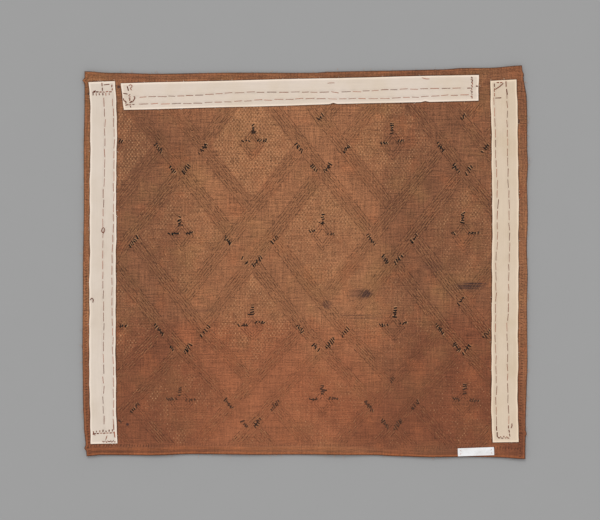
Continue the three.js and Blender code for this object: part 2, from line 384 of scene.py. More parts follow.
def raised_share(spots, rising_left, falling_left):
    """How far a band stands up at points, with the lower band hidden at each crossing."""
    rising, falling = strand_numbers(spots)
    rising_band = band_share(rising) * rising_left
    falling_band = band_share(falling) * falling_left
    off_rising = np.abs(rising - nearest_strand(rising))
    off_falling = np.abs(falling - nearest_strand(falling))
    crossing = np.maximum(off_rising, off_falling) < BAND_OUTER
    upper = np.where(falling_on_top(rising, falling), falling_band, rising_band)
    return np.where(crossing, upper, np.maximum(rising_band, falling_band))


def off_diamond(spots):
    """Distance in lattice steps from the middle of the nearest small diamond."""
    rising, falling = strand_numbers(spots)
    odd_rising = 2 * np.round((rising - 1) / 2) + 1
    odd_falling = 2 * np.round((falling - 1) / 2) + 1
    return np.maximum(np.abs(rising - odd_rising), np.abs(falling - odd_falling))


print("lattice step in millimetres:", COLUMN_PITCH, "across")

# %% [markdown]
# ## How the cloth lies
# The panel was folded both ways, and its folds still show: two as soft ridges and two more faintly. Its
# edges and corners lift a millimetre or two off the floor. A cloth simulation would settle it flat and lose
# just those marks, so the lie is a sum of soft rises, given one by one and never below the floor.

# %% Rises and ridges
def table(heading, *rows):
    """Rows of a table as dictionaries; the words of the heading name the columns."""
    return [dict(zip(heading.split(), row)) for row in rows]


EDGE_RISES = table(
    "x y reach height",
    (-318, 277, 34, 1.6),
    (-120, 279, 60, 0.5),
    (90, 283, 55, 0.7),
    (315, 285, 40, 2.0),
    (322, 130, 48, 1.1),
    (322, -70, 55, 1.5),
    (320, -285, 42, 2.4),
    (185, -284, 52, 1.3),
    (52, -281, 46, 1.9),
    (-95, -280, 56, 1.2),
    (-215, -282, 40, 1.7),
    (-317, -282, 36, 1.8),
    (-322, -120, 50, 0.9),
    (-321, 70, 62, 0.8),
)
FOLD_RIDGES = table(
    "axis place width height sway wave",
    (0, 113.0, 7.0, 0.55, 2.2, 95.0),
    (1, -84.0, 6.0, 0.50, 1.8, 120.0),
    (1, 92.0, 9.0, 0.22, 2.6, 140.0),
    (0, -104.0, 9.0, 0.20, 2.4, 130.0),
)
RIGHT_FOLD = FOLD_RIDGES[0]["place"]
LOWER_FOLD = FOLD_RIDGES[1]["place"]
print("rises placed:", len(EDGE_RISES), "and ridges:", len(FOLD_RIDGES))

# %% Lie of the cloth
WAVE_HEIGHT = 0.22
WAVE_LENGTHS = (38.0, 61.0, 94.0)


def waves(spots, seed, lengths):
    """A slow uneven swell between -1 and 1."""
    draw = np.random.default_rng(seed)
    x, y = spots[..., 0], spots[..., 1]
    total = np.zeros_like(x)
    for length in lengths:
        heading, start = draw.uniform(0, 2 * math.pi, 2)
        total += np.sin((x * math.cos(heading) + y * math.sin(heading)) * 2 * math.pi / length + start)
    return total / len(lengths)


def lie(spots):
    """How high the cloth's underside stands at points, in millimetres."""
    x, y = spots[..., 0], spots[..., 1]
    height = WAVE_HEIGHT * (1 + waves(spots, 3, WAVE_LENGTHS)) / 2
    for rise in EDGE_RISES:
        far = np.hypot(x - rise["x"], y - rise["y"]) / rise["reach"]
        height += rise["height"] * np.exp(-2 * far * far)
    for ridge in FOLD_RIDGES:
        across, onward = (x, y) if ridge["axis"] == 0 else (y, x)
        off = across - ridge["place"] - ridge["sway"] * np.sin(onward * 2 * math.pi / ridge["wave"])
        uneven = 0.7 + 0.3 * np.sin(onward / ridge["wave"] * 9)
        height += ridge["height"] * uneven * np.exp(-(off / ridge["width"]) ** 2)
    return height


print("lie at the middle, in millimetres:", lie(np.zeros((1, 2))).round(2))

# %% [markdown]
# ## How the stitching has worn
# The embroidery has faded and flattened unevenly: one set of strands is almost gone at the lower right, while
# the other still shows there. A table adds or takes away wear in soft ovals for each kind of stitch, and a
# slow swell makes the rest patchy.

# %% Wear
WEAR_EVERYWHERE = 0.30
WEAR_LOW_DOWN = 0.20
WEAR_PATCHES = 0.55
WEAR_WAVES = (19.0, 31.0, 53.0, 83.0)
BAND_WAYS = {"rising": 21, "falling": 22}
FIELD_WEAR = 33
WORN_PLACES = table(
    "kind x y wide high more",
    ("rising", 140, -135, 200, 150, 0.72),
    ("rising", -245, 195, 90, 70, 0.35),
    ("rising", -210, -205, 130, 95, 0.30),
    ("rising", -40, 70, 120, 90, -0.22),
    ("rising", 165, 65, 110, 80, -0.25),
    ("falling", -215, 195, 110, 75, 0.42),
    ("falling", 60, -215, 340, 105, 0.48),
    ("falling", 215, 190, 80, 70, 0.25),
    ("falling", 185, -45, 95, 80, -0.12),
    ("falling", -130, 95, 60, 80, -0.25),
    ("falling", 60, -130, 70, 60, -0.20),
    ("field", 170, -140, 190, 170, 0.70),
    ("field", -60, -210, 320, 130, 0.45),
    ("field", -200, 30, 80, 90, 0.50),
    ("field", 45, 30, 75, 85, 0.25),
    ("field", -215, -190, 90, 90, 0.20),
    ("field", -80, 175, 80, 90, -0.30),
    ("field", 225, 45, 90, 95, 0.50),
    ("field", 155, 170, 75, 90, 0.42),
    ("field", -250, -70, 70, 60, 0.35),
    ("diamond", 0, -235, 400, 75, 0.50),
    ("diamond", 20, 60, 400, 170, -0.12),
)


def oval(x, y, spot):
    """The squared distance from the middle of an oval, 1 at its rim; x and y are numbers or wires."""
    return ((x - spot["x"]) / spot["wide"]) ** 2 + ((y - spot["y"]) / spot["high"]) ** 2


def wear(spots, kind, seed):
    """How far one kind of stitching has faded, from 0, fresh, to 1, gone."""
    x, y = spots[..., 0], spots[..., 1]
    total = WEAR_EVERYWHERE + WEAR_LOW_DOWN * smooth(30, -230, y)
    total = total + WEAR_PATCHES * waves(spots, seed, WEAR_WAVES)
    for spot in WORN_PLACES:
        if spot["kind"] == kind:
            total = total + spot["more"] * np.exp(-1.4 * oval(x, y, spot))
    return np.clip(total, 0, 1)


for way, seed in BAND_WAYS.items():
    print("wear of the", way, "bands at the middle:", wear(np.zeros((1, 2)), way, seed).round(2))

# %% [markdown]
# ## Making a piece
# Every piece here is a mesh worked out with numpy, because the pieces are many and small. One function turns
# points in millimetres into an object in metres, shades it smooth, and fixes it to the one body there is.

# %% From points to a piece
def make_piece(name, corners, faces, finish, marks=None):
    """A mesh piece; marks are named values at its corners for the finish to read."""
    mesh = bpy.data.meshes.new(name)
    mesh.from_pydata((np.asarray(corners) * MM).tolist(), [], np.asarray(faces).tolist())
    mesh.polygons.foreach_set("use_smooth", [True] * len(mesh.polygons))
    for mark, values in (marks or {}).items():
        mesh.attributes.new(mark, "FLOAT", "POINT").data.foreach_set("value", np.asarray(values, np.float32))
    mesh.materials.append(finish)
    piece = place_object(name, mesh)
    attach(piece, "root")
    triangles = sum(len(polygon.vertices) - 2 for polygon in mesh.polygons)
    print(name, "triangles:", triangles)
    return piece


def grid_quads(numbers):
    corners = [numbers[:-1, :-1], numbers[1:, :-1], numbers[1:, 1:], numbers[:-1, 1:]]
    return np.stack(corners, axis=-1).reshape(-1, 4)


def closed_sheet(plan, middle, thick, round_share, relief):
    """Corners and faces of a sheet whose faces meet at its rim, its inner points and a finder of its top."""
    top = middle + thick * (0.5 + 0.5 * round_share) + relief
    bottom = middle + thick * (0.5 - 0.5 * round_share)
    numbers = np.arange(top.size).reshape(top.shape)
    inner = np.zeros(top.shape, bool)
    inner[1:-1, 1:-1] = True
    under = numbers.copy()
    under[inner] = top.size + np.arange(inner.sum())
    upper_corners = np.dstack([plan, top]).reshape(-1, 3)
    lower_corners = np.dstack([plan, bottom])[inner]
    corners = np.concatenate([upper_corners, lower_corners])
    faces = np.concatenate([grid_quads(numbers), grid_quads(under)[:, ::-1]])
    surface = BVHTree.FromPolygons(corners.tolist(), grid_quads(numbers).tolist())
    return corners, faces, inner, surface


print("quads of a grid of 3 by 3 points:", len(grid_quads(np.arange(9).reshape(3, 3))))

# %% [markdown]
# ## The raffia ground
# Raffia cloth is woven from split leaf strips, so each thread has its own brown. The panel has also aged:
# paler in the middle, browner along the left and right, redder below the lower fold. Soft blots in a short
# table paint those, and the same ground colours the stitches, so that they fade where the cloth does.

# %% Tones
RAFFIA = {
    "mid": colour_of(152, 99, 67),
    "pale": colour_of(170, 116, 80),
    "brown": colour_of(122, 78, 54),
    "red": colour_of(158, 91, 60),
    "umber": colour_of(128, 74, 49),
    "olive": colour_of(146, 104, 66),
    "orange": colour_of(170, 100, 63),
    "straw": colour_of(176, 126, 84),
    # The hem colour is a painted highlight, laid along the rolled edge and the bottom's inner ridge.
    "hem": colour_of(164, 94, 54),
    "stain": colour_of(66, 44, 42),
}
TONE_BLOTS = table(
    "tone x y wide high share",
    ("pale", -25, 205, 130, 60, 0.34),
    ("pale", -60, 70, 150, 130, 0.24),
    ("pale", 60, 40, 60, 110, 0.30),
    ("brown", -240, 0, 72, 340, 0.62),
    ("brown", -215, 190, 110, 70, 0.30),
    ("umber", -245, -215, 130, 150, 0.70),
    ("brown", 240, 40, 145, 330, 0.58),
    ("umber", 225, -225, 190, 175, 0.95),
    ("brown", 0, 284, 380, 20, 0.45),
    ("brown", 0, -282, 380, 26, 0.30),
    ("brown", -181, 150, 24, 32, 0.55),
    ("pale", -320, 0, 11, 290, 0.50),
    ("pale", 319, -30, 13, 240, 0.50),
    ("brown", 319, 215, 14, 90, 0.35),
    ("pale", 0, -276, 130, 13, 0.35),
    ("brown", -262, -276, 75, 13, 0.40),
    ("brown", 190, -276, 75, 13, 0.40),
    ("pale", 65, -105, 95, 105, 0.30),
    ("red", 45, -180, 75, 55, 0.45),
)
print("raffia colours:", len(RAFFIA), "tone blots:", len(TONE_BLOTS))

# %% Stains
STAINS = table(
    "x y wide high share",
    (88, -46, 8, 6, 0.80),
    (81, -46, 19, 9, 0.42),
    (32, -62, 7, 7, 0.55),
    (246, -31, 19, 1.3, 0.85),
    (240, -34.5, 24, 1.4, 0.90),
    (234, -37.5, 17, 1.2, 0.75),
    (236, -35, 32, 7, 0.34),
    (187, -6, 18, 9, 0.25),
    (74, -77, 34, 1.2, 0.45),
    (84, -81, 36, 1.2, 0.45),
    (-257, -235, 2.4, 2.2, 0.95),
    (-270, 254, 2.4, 2.6, 0.85),
    (-313, 244, 1.8, 2.2, 0.90),
    (310, 204, 1.8, 4.0, 0.90),
    (-150, -70, 34, 3, 0.18),
)
print("stains:", len(STAINS))


# %% Worn ground
def blot(x, y, spot, wobble):
    """The share of a blot: full in its middle, falling softly to 0 at its uneven edge."""
    return (1 - (oval(x, y, spot) + wobble).rise(0.15, 1.25)) * spot["share"]


def raffia_ground(paint, place):
    """The colour of the worn weave at each place, with its stains, and painted light just above the lower
    fold and painted shade just below it.
    """
    x, y = place.part("X"), place.part("Y")
    wobble = (place.noise(0.05, 3.0) - 0.5) * 0.9
    sway = wobble * 6
    below_fold = 1 - (y + sway * 1.5).rise(LOWER_FOLD - 14, LOWER_FOLD + 10)
    # Painted light just above the lower fold's ridge, and painted shade just below it.
    below_fold_shade = below_fold * y.rise(LOWER_FOLD - 90, LOWER_FOLD - 20)
    above_fold_light = (1 - below_fold) * (1 - y.rise(LOWER_FOLD + 15, LOWER_FOLD + 70))
    colour = paint.blend(below_fold * 0.60, RAFFIA["mid"], RAFFIA["red"])
    for spot in TONE_BLOTS:
        colour = paint.blend(blot(x, y, spot, wobble), colour, RAFFIA[spot["tone"]])
    past_fold = (x + sway).rise(RIGHT_FOLD - 4, RIGHT_FOLD + 4)
    past_fold = past_fold * (1 - x.rise(RIGHT_FOLD + 20, RIGHT_FOLD + 130))
    colour = paint.blend(past_fold * 0.46 * y.rise(-330.0, 20.0), colour, RAFFIA["brown"])
    olive = place.noise(0.014, 4.0, 0.6).rise(0.46, 0.72) * (0.18 + y.rise(-220.0, -60.0) * 0.32)
    colour = paint.blend(olive, colour, RAFFIA["olive"])
    colour = paint.blend(place.noise(0.023, 4.0, 0.6).rise(0.48, 0.74) * 0.4, colour, RAFFIA["orange"])
    cloudy = place.noise(0.030, 4.0, 0.65)
    colour = paint.shade(colour, 0.72 + cloudy * 0.56 + above_fold_light * 0.035 - below_fold_shade * 0.030)
    grime = (place.noise(0.16, 3.0) - 0.5) * 1.4
    for spot in STAINS:
        colour = paint.blend(blot(x, y, spot, grime), colour, RAFFIA["stain"])
    return colour


print("blots and stains in the ground:", len(TONE_BLOTS) + len(STAINS))

# %% [markdown]
# ## The raffia weave
# Each thread is about a millimetre wide, too fine for geometry over half a metre. The bump repeats a plain
# weave at that pitch, and long thin noise along each thread gives the pale and dark strips.

# %% Weave finish
THREAD_PITCH = 1.15


def weave_finish():
    material, paint, shader, place = start_finish("raffia_weave", shine=0.22, sheen=0.05)
    x, y = place.part("X"), place.part("Y")
    weft = place.stretch((0.035, 0.52, 0.0)).noise(1.0, 2.0, 0.6)
    warp = place.stretch((0.50, 0.030, 0.0)).noise(1.0, 2.0, 0.6)
    flecks = place.stretch((0.48, 0.60, 0.0)).noise(1.0, 2.0, 0.7)
    slub = place.stretch((0.011, 0.36, 0.0)).noise(1.0, 1.0).rise(0.60, 0.70)
    crisp = 0.74 + y.rise(-200.0, -90.0) * 0.30 + y.rise(30.0, 130.0) * 0.14
    strips = 1 + ((weft - 0.5) * 1.25 + (warp - 0.5) * 1.05 + (flecks - 0.5) * 1.90) * crisp - slub * 0.12
    ground = raffia_ground(paint, place)
    ground = paint.blend(paint.mark("filled") * 0.20, ground, RAFFIA["straw"])
    # Painted highlight: the rolled edge and the bottom's inner ridge are blended towards a lighter orange.
    ground = paint.blend(paint.mark("rolled") * 0.8, ground, RAFFIA["hem"])
    # Painted shadow: the cloth is darkened within about two millimetres of each tape's outline.
    tape_shadow = 1 - paint.mark("tape_far").rise(0.2, 2.2)
    # Darker on the stitched bands, with painted shade in the hem's groove, hollow and outer rim, and a
    # painted shadow beside the tapes.
    darker = (1 - paint.mark("band") * 0.07) * (1 - paint.mark("soiled") * 0.66) * (1 - tape_shadow * 0.55)
    turn = math.pi / THREAD_PITCH
    over_under = (x * turn).sine() * (y * turn).sine()
    height = over_under * 0.5 + weft * 0.8 + warp * 0.6 + slub * 0.5
    colour = paint.shade(ground, strips * darker)
    lay_finish(paint, shader, colour, 0.62 + flecks * 0.3, height, depth=0.35, strength=0.55)
    return material


raffia_weave = weave_finish()
print("weave nodes:", len(raffia_weave.node_tree.nodes))

# %% [markdown]
# ## The cloth sheet
# The sheet is a closed grid: its upper face carries the hem's rolled edge, its step and the stitched bands,
# its underside lies plain, and both meet in a rounded fold all round. Cells of three millimetres hold the
# relief, and the rim gets finer ones for the roll and the groove beside it. The roll is coloured with a
# painted highlight, and the groove, the hollow behind the bottom's inner ridge and the outer rim with
# painted shade.

# %% Distances on a plan
def from_sides(plan):
    """How far each point of a grid lies from the four sides."""
    return {
        "left": np.linalg.norm(plan - plan[:1], axis=2),
        "right": np.linalg.norm(plan - plan[-1:], axis=2),
        "bottom": np.linalg.norm(plan - plan[:, :1], axis=2),
        "top": np.linalg.norm(plan - plan[:, -1:], axis=2),
    }


def from_rim(plan):
    """How far each point of a grid lies from the nearest side."""
    return np.minimum.reduce(list(from_sides(plan).values()))


def far_from(node, plan):
    """How far each point of a grid lies outside a node's outline, and 0 within it."""
    outline = rim(node)
    nearest = np.full(plan.shape[:2], np.inf)
    within = np.zeros(plan.shape[:2], bool)
    for first, second in zip(outline, np.roll(outline, -1, axis=0)):
        side = second - first
        share = np.clip(((plan - first) @ side) / (side @ side), 0, 1)
        nearest = np.minimum(nearest, np.linalg.norm(plan - first - share[..., None] * side, axis=2))
        spans = (first[1] > plan[..., 1]) != (second[1] > plan[..., 1])
        crossed = first[0] + (plan[..., 1] - first[1]) * side[0] / (side[1] + 1e-9)
        within ^= spans & (plan[..., 0] < crossed)
    return np.where(within, 0.0, nearest)


def rounded_rim(distance, radius):
    """0 at the rim and 1 from the radius inwards, as a quarter circle."""
    inward = np.clip(distance / radius, 0, 1)
    return np.sqrt(1 - (1 - inward) ** 2)


CLOTH_CELL = 3.05
CLOTH_RIM = (0.3, 0.5, 0.7, 0.9, 1.0, 1.0, 1.0, 1.2, 1.6, 2.0, 2.3, 2.6)
cloth_plan = plan_grid("cloth", *(stations(size, CLOTH_CELL, CLOTH_RIM) for size in flat_size("cloth")))
side_far = from_sides(cloth_plan)
rim_far = from_rim(cloth_plan)
print("points on the cloth's plan:", rim_far.shape)

# %% Hem, roll and groove
HEM_WIDTHS = {"left": 5.0, "right": 8.0, "bottom": 14.0, "top": 7.0}
HEM_SWAY = 0.8
# How strongly the roll's painted highlight shows on each side.
ROLL_HIGHLIGHT = {"left": 0.5, "right": 0.2, "bottom": 0.9, "top": 0.25}
ROLL_WIDTH = 4.4
ROLL_SWAY = 0.9
INNER_RIDGE = 9.0
INNER_WIDTH = 1.4
INNER_ENDS = (20.0, 110.0)
GROOVE_WIDTH = 0.9
# Shares of painted shade: a dark line in the roll's groove, a dark band along the outer rim, and a darker
# hollow between the roll and the inner ridge at the bottom.
PAINTED_SHADE_SHARES = {"groove": 0.3, "rim": 0.95, "hollow": 0.32}

hem_line = HEM_SWAY * waves(cloth_plan, 11, (23.0, 41.0))
roll_line = rim_far - ROLL_WIDTH - ROLL_SWAY * waves(cloth_plan, 12, (37.0, 71.0, 133.0))
groove = np.exp(-(roll_line / GROOVE_WIDTH) ** 2)
turned_in = smooth(INNER_ENDS[1], INNER_ENDS[0], cloth_plan[..., 0])
low_far = side_far["bottom"]
inner_ridge = turned_in * np.exp(-((low_far - INNER_RIDGE) / INNER_WIDTH) ** 2)
hollow = turned_in * smooth(ROLL_WIDTH, ROLL_WIDTH + 1, low_far) * (low_far < INNER_RIDGE)
# Painted shade: the groove, the outer rim and the hollow behind the inner ridge are darkened in colour.
soiled = np.maximum(groove * PAINTED_SHADE_SHARES["groove"], smooth(2.2, 0.3, rim_far) * PAINTED_SHADE_SHARES["rim"])
soiled = np.maximum(soiled, hollow * (1 - inner_ridge) * PAINTED_SHADE_SHARES["hollow"])
hem = np.zeros(rim_far.shape)
# Painted highlight along the roll on every side and, at the bottom, along the inner ridge.
rolled = inner_ridge * 0.6
for side, far in side_far.items():
    hem = np.maximum(hem, smooth(HEM_WIDTHS[side] + 1.0, HEM_WIDTHS[side] - 1.0, far + hem_line))
    on_roll = smooth(ROLL_WIDTH - 0.2, ROLL_WIDTH - 1.4, far) * smooth(0.8, 1.8, rim_far)
    rolled = np.maximum(rolled, ROLL_HIGHLIGHT[side] * on_roll)
print("share of the cloth that is hem:", hem.mean().round(3))

# %% Bands and fields on the sheet
BAND_WEAR = 0.85
BAND_FADES = (0.45, 0.95)

faded = [smooth(*BAND_FADES, wear(cloth_plan, way, seed)) for way, seed in BAND_WAYS.items()]
band = raised_share(cloth_plan, *(1 - BAND_WEAR * share for share in faded)) * (1 - hem)
space = off_diamond(cloth_plan)
filled = smooth(1 - BAND_OUTER, 1 - BAND_OUTER - BAND_SOFT, space)
filled = filled * smooth(DIAMOND_ROOM - BAND_SOFT, DIAMOND_ROOM, space)
filled = filled * (1 - wear(cloth_plan, "field", FIELD_WEAR)) * (1 - hem)
print("share of the cloth under bands:", band.mean().round(3))

# %% Cloth
SHEET_THICK = 1.2
HEM_THICK = 2.2
FOLD_RADIUS = 1.6
RIM_LIFT = 0.9
RIM_REACH = 11.0
GROOVE_DEPTH = 0.35
BAND_RELIEF = 0.38
RIDGE_RELIEF = 0.35
TAPE_NODES = ("tape_top", "tape_left", "tape_right")
TAPE_CLEAR = 10.0

thick = SHEET_THICK + (HEM_THICK - SHEET_THICK) * hem
floor_gap = lie(cloth_plan) + RIM_LIFT * np.exp(-rim_far / RIM_REACH)
relief = BAND_RELIEF * band + RIDGE_RELIEF * inner_ridge - GROOVE_DEPTH * groove
fold = rounded_rim(rim_far, FOLD_RADIUS)
corners, faces, inner, cloth_surface = closed_sheet(cloth_plan, floor_gap, thick, fold, relief)
# The distance from the tapes feeds a painted shadow on the cloth beside them.
tape_far = np.minimum.reduce([far_from(node, cloth_plan) for node in TAPE_NODES])
marks = {"band": band, "filled": filled, "soiled": soiled, "rolled": rolled, "tape_far": tape_far}
for name, values in marks.items():
    plain = TAPE_CLEAR if name == "tape_far" else 0.0
    marks[name] = np.concatenate([values.ravel(), np.full(inner.sum(), plain)])
cloth = make_piece("raffia_panel", corners, faces, raffia_weave, marks)
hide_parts("cloth")

# %% [markdown]
# ## Stitches
# A stitch is a short bar with rounded sides and pointed ends, sunk half into the cloth. There are thousands,
# so one numpy function makes all the bars of a piece at once. To lie on the cloth, each bar's points are
# dropped on it by ray casts, which works on any later change of the lie.

# %% Dropping points
CAST_FROM = 60.0
DOWN = Vector((0.0, 0.0, -1.0))


def drop(surface, flat):
    """Points of any array of places, each at the height of the surface under it, or 0 beside it."""
    places = np.asarray(flat, float).reshape(-1, 2)
    heights = np.zeros(len(places))
    for index, (x, y) in enumerate(places):
        hit = surface.ray_cast(Vector((x, y, CAST_FROM)), DOWN)[0]
        if hit is not None:
            heights[index] = hit.z
    return np.concatenate([places, heights[:, None]], axis=1).reshape(*np.shape(flat)[:-1], 3)


print("cloth height at its middle:", drop(cloth_surface, [[0.0, 0.0]])[0, 2].round(2), "mm")


# %% Bars
def bars(paths, widths, heights, facets):
    """Corners and faces of one pointed bar along each path; paths is stitches by points by 3."""
    count, points = paths.shape[:2]
    onward = np.gradient(paths, axis=1)
    sideways = np.stack([-onward[..., 1], onward[..., 0], np.zeros((count, points))], axis=-1)
    sideways /= np.linalg.norm(sideways, axis=-1, keepdims=True) + 1e-9
    angles = np.arange(facets) * 2 * math.pi / facets
    reach = sideways[:, 1:-1, None] * np.cos(angles)[:, None] * (widths / 2)[:, None, None, None]
    rings = paths[:, 1:-1, None] + reach
    rings[..., 2] += np.sin(angles) * heights[:, None, None]
    corners = np.concatenate([paths[:, :1], rings.reshape(count, -1, 3), paths[:, -1:]], axis=1)
    per_bar = corners.shape[1]
    faces = []
    for facet in range(facets):
        beside = (facet + 1) % facets
        faces.append((0, 1 + beside, 1 + facet))
        for ring in range(points - 3):
            here = 1 + ring * facets
            ahead = here + facets
            faces.append((here + facet, here + beside, ahead + beside))
            faces.append((here + facet, ahead + beside, ahead + facet))
        last = 1 + (points - 3) * facets
        faces.append((per_bar - 1, last + facet, last + beside))
    numbered = np.array(faces)[None] + (np.arange(count) * per_bar)[:, None, None]
    return corners.reshape(-1, 3), numbered.reshape(-1, 3), per_bar


print("corners of a bar of four points:", bars(np.eye(4, 3)[None], np.ones(1), np.ones(1), 4)[2])

# %% Sewing on a base
BAR_SHARES = (0.0, 0.18, 0.82, 1.0)


def add_bars(base, name, paths, sizes, finish, marks, facets=4):
    """Adds a piece of bars to what is sewn on a base; a mark has one value for each bar."""
    corners, faces, per_bar = bars(paths, *sizes, facets)
    marks = {mark: np.repeat(values, per_bar) for mark, values in marks.items()}
    base["sewn"].append(make_piece(name, corners, faces, finish, marks))


def stitch_sizes(kind, count, draw):
    """Widths and heights; a kind gives each as a size and the two shares that it varies between."""
    return [size * draw.uniform(low, high, count) for size, low, high in (kind["width"], kind["rise"])]


def sew(base, name, starts, ends, sizes, worn, finish, shares=BAR_SHARES):
    """Adds a piece of straight stitches that lie on a base's surface."""
    shares = np.asarray(shares)[None, :, None]
    paths = drop(base["surface"], starts[:, None] * (1 - shares) + ends[:, None] * shares)
    add_bars(base, name, paths, sizes, finish, {"worn": np.clip(worn, 0, 1)})


panel = {"surface": cloth_surface, "slot": "raffia", "sewn": []}
print("a base to sew on:", list(panel))

# %% [markdown]
# ## Finishes of the stitches
# The stitches are raffia too, dyed darker or left paler than the ground. Each stitch has a mark from 0,
# fresh, to 1, worn away, which brings its colour back towards the ground under it. Black raffia and sewing
# thread keep their own colours, and only grow paler.

# %% Stitch finishes
def stitch_finish(name, dyed, fresh, gone):
    """A finish of a dyed colour, whose share falls from fresh to gone as a stitch wears."""
    material, paint, shader, place = start_finish(name, shine=0.25)
    fibre = place.stretch((1.4, 1.4, 1.4)).noise(1.0, 2.0)
    dye = fresh + paint.mark("worn") * (gone - fresh)
    colour = paint.shade(paint.blend(dye, raffia_ground(paint, place), colour_of(*dyed)), 0.80 + fibre * 0.4)
    lay_finish(paint, shader, colour, 0.58 + fibre * 0.3, fibre, depth=0.15, strength=0.4)
    return material


def float_finish():
    material, paint, shader, place = start_finish("black_raffia_float", shine=0.2)
    fibre = place.stretch((1.6, 1.6, 1.6)).noise(1.0, 3.0)
    colour = paint.blend(paint.mark("worn"), colour_of(24, 19, 16), colour_of(88, 57, 42))
    colour = paint.shade(colour, 0.6 + fibre * 0.8)
    lay_finish(paint, shader, colour, 0.42 + fibre * 0.35, fibre, depth=0.2, strength=0.5)
    return material


def thread_finish():
    material, paint, shader, place = start_finish("brown_sewing_thread", shine=0.08)
    ply = place.stretch((2.2, 2.2, 2.2)).noise(1.0, 2.0)
    colour = paint.blend(paint.mark("worn"), colour_of(104, 46, 28), colour_of(198, 124, 96))
    colour = paint.shade(colour, 0.75 + ply * 0.5)
    lay_finish(paint, shader, colour, 0.6 + ply * 0.3, ply, depth=0.15, strength=0.4)
    return material


dark_stitch = stitch_finish("dark_stitch_fibre", (58, 37, 27), 0.76, 0.05)
pale_stitch = stitch_finish("pale_stitch_fibre", (224, 170, 124), 0.80, 0.05)
ridge_stitch = stitch_finish("ridge_stitch_fibre", (184, 130, 90), 0.52, 0.05)
black_float = float_finish()
sewing_thread = thread_finish()
print("stitch finishes:", [finish.name for finish in bpy.data.materials])

# %% [markdown]
# ## Where the stitching shows
# The lattice runs on under the tapes, where it can't be seen and would lift them. So stitches are kept to
# the space between the tapes and the hem, read from the solids' own outlines.

# %% The open field
FIELD_MARGIN = 1.5
field_left = four_sides(rim("tape_left"))[1]
field_right = four_sides(rim("tape_right"))[3]
field_top = four_sides(rim("tape_top"))[0]
field_low = along(four_sides(rim("cloth"))[0], np.linspace(0, 1, 200))


def in_field(spots):
    """True for points on open cloth, clear of the tapes and of the hem."""
    x, y = spots[..., 0], spots[..., 1]
    open_left = x > np.interp(y, field_left[:, 1], field_left[:, 0]) + FIELD_MARGIN
    open_right = x < np.interp(y, field_right[:, 1], field_right[:, 0]) - FIELD_MARGIN
    open_top = y < np.interp(x, field_top[:, 0], field_top[:, 1]) - FIELD_MARGIN
    open_low = y > np.interp(x, field_low[:, 0], field_low[:, 1]) + HEM_WIDTHS["bottom"] + FIELD_MARGIN
    return open_left & open_right & open_top & open_low


print("field at the middle:", bool(in_field(np.zeros(2))))

# %% [markdown]
# ## Band stitches
# A band is six thin dark grooves with five paler ridges between them, each a row of long stitches. Rows
# follow the strands, so they are laid out in lattice numbers: one number stays fixed along a row while the
# other steps on by a stitch. At a crossing the lower strand's rows stop.

# %% Bands
ROW_KINDS = table(
    "name finish rows inset length width rise",
    ("grooves", dark_stitch, 6, 0.010, 6.6, (0.84, 0.75, 1.25), (0.20, 0.7, 1.2)),
    ("ridges", ridge_stitch, 5, 0.033, 6.2, (1.40, 0.75, 1.25), (0.34, 0.7, 1.2)),
)
ROW_PITCH = 7.0
ROW_SHARES = (0.0, 0.05, 0.35, 0.65, 0.95, 1.0)
ROW_FLATTENS = 0.6
NUMBER_STEP = math.hypot(COLUMN_PITCH, ROW_PLACES[0] - ROW_PLACES[1]) / 2
STRANDS = range(-8, 10, 2)
STRAND_REACH = 7.0


def band_rows(rising_set, kind, seed):
    """Starts and ends of all the stitches of one kind in one set of strands."""
    draw = np.random.default_rng(seed)
    step = ROW_PITCH / NUMBER_STEP
    rows = np.linspace(BAND_INNER + kind["inset"], BAND_OUTER - kind["inset"], kind["rows"])
    fixed, moving = [], []
    for strand in STRANDS:
        for off in (*-rows, *rows):
            places = np.arange(-STRAND_REACH, STRAND_REACH, step) + draw.random() * step
            moving.append(places + draw.normal(0, step * 0.08, len(places)))
            fixed.append(strand + off + draw.normal(0, 0.007, len(places)))
    fixed, moving = np.concatenate(fixed), np.concatenate(moving)

    def numbers(moved):
        return (fixed, moved) if rising_set else (moved, fixed)

    half = kind["length"] / NUMBER_STEP / 2 * draw.uniform(0.7, 1.15, len(moving))
    crossing = np.abs(moving - nearest_strand(moving)) < BAND_OUTER + 0.02
    hidden = crossing & (falling_on_top(*numbers(moving)) == rising_set)
    starts = lattice_point(*numbers(moving - half))
    ends = lattice_point(*numbers(moving + half))
    kept = ~hidden & in_field(starts) & in_field(ends) & (draw.random(len(moving)) > 0.05)
    return starts[kept], ends[kept], draw


for order, (way, wear_seed) in enumerate(BAND_WAYS.items()):
    for number, kind in enumerate(ROW_KINDS):
        starts, ends, draw = band_rows(way == "rising", kind, 21 + 2 * order + number)
        worn = wear((starts + ends) / 2, way, wear_seed) + draw.normal(0, 0.28, len(starts))
        worn = np.clip(worn, 0, 1)
        widths, heights = stitch_sizes(kind, len(starts), draw)
        sizes = widths, heights * (1 - ROW_FLATTENS * worn)
        sew(panel, f"{way}_band_{kind['name']}", starts, ends, sizes, worn, kind["finish"], ROW_SHARES)

# %% [markdown]
# ## Field stitches
# Between the bands, each diamond is filled with pale upright stitches in a brick setting, a couple of
# millimetres long, and shorter dark ones between them. They are clearest in the upper middle and nearly worn
# away low down.

# %% Fields
FIELD_PITCH = 4.83
FIELD_ROW = 3.37
DOT_KINDS = table(
    "name finish shift length width rise",
    ("field_pale_stitches", pale_stitch, 0.0, 1.9, (1.30, 0.8, 1.1), (0.30, 0.8, 1.2)),
    ("field_dark_stitches", dark_stitch, 0.5, 1.5, (0.95, 0.8, 1.1), (0.16, 0.8, 1.2)),
)


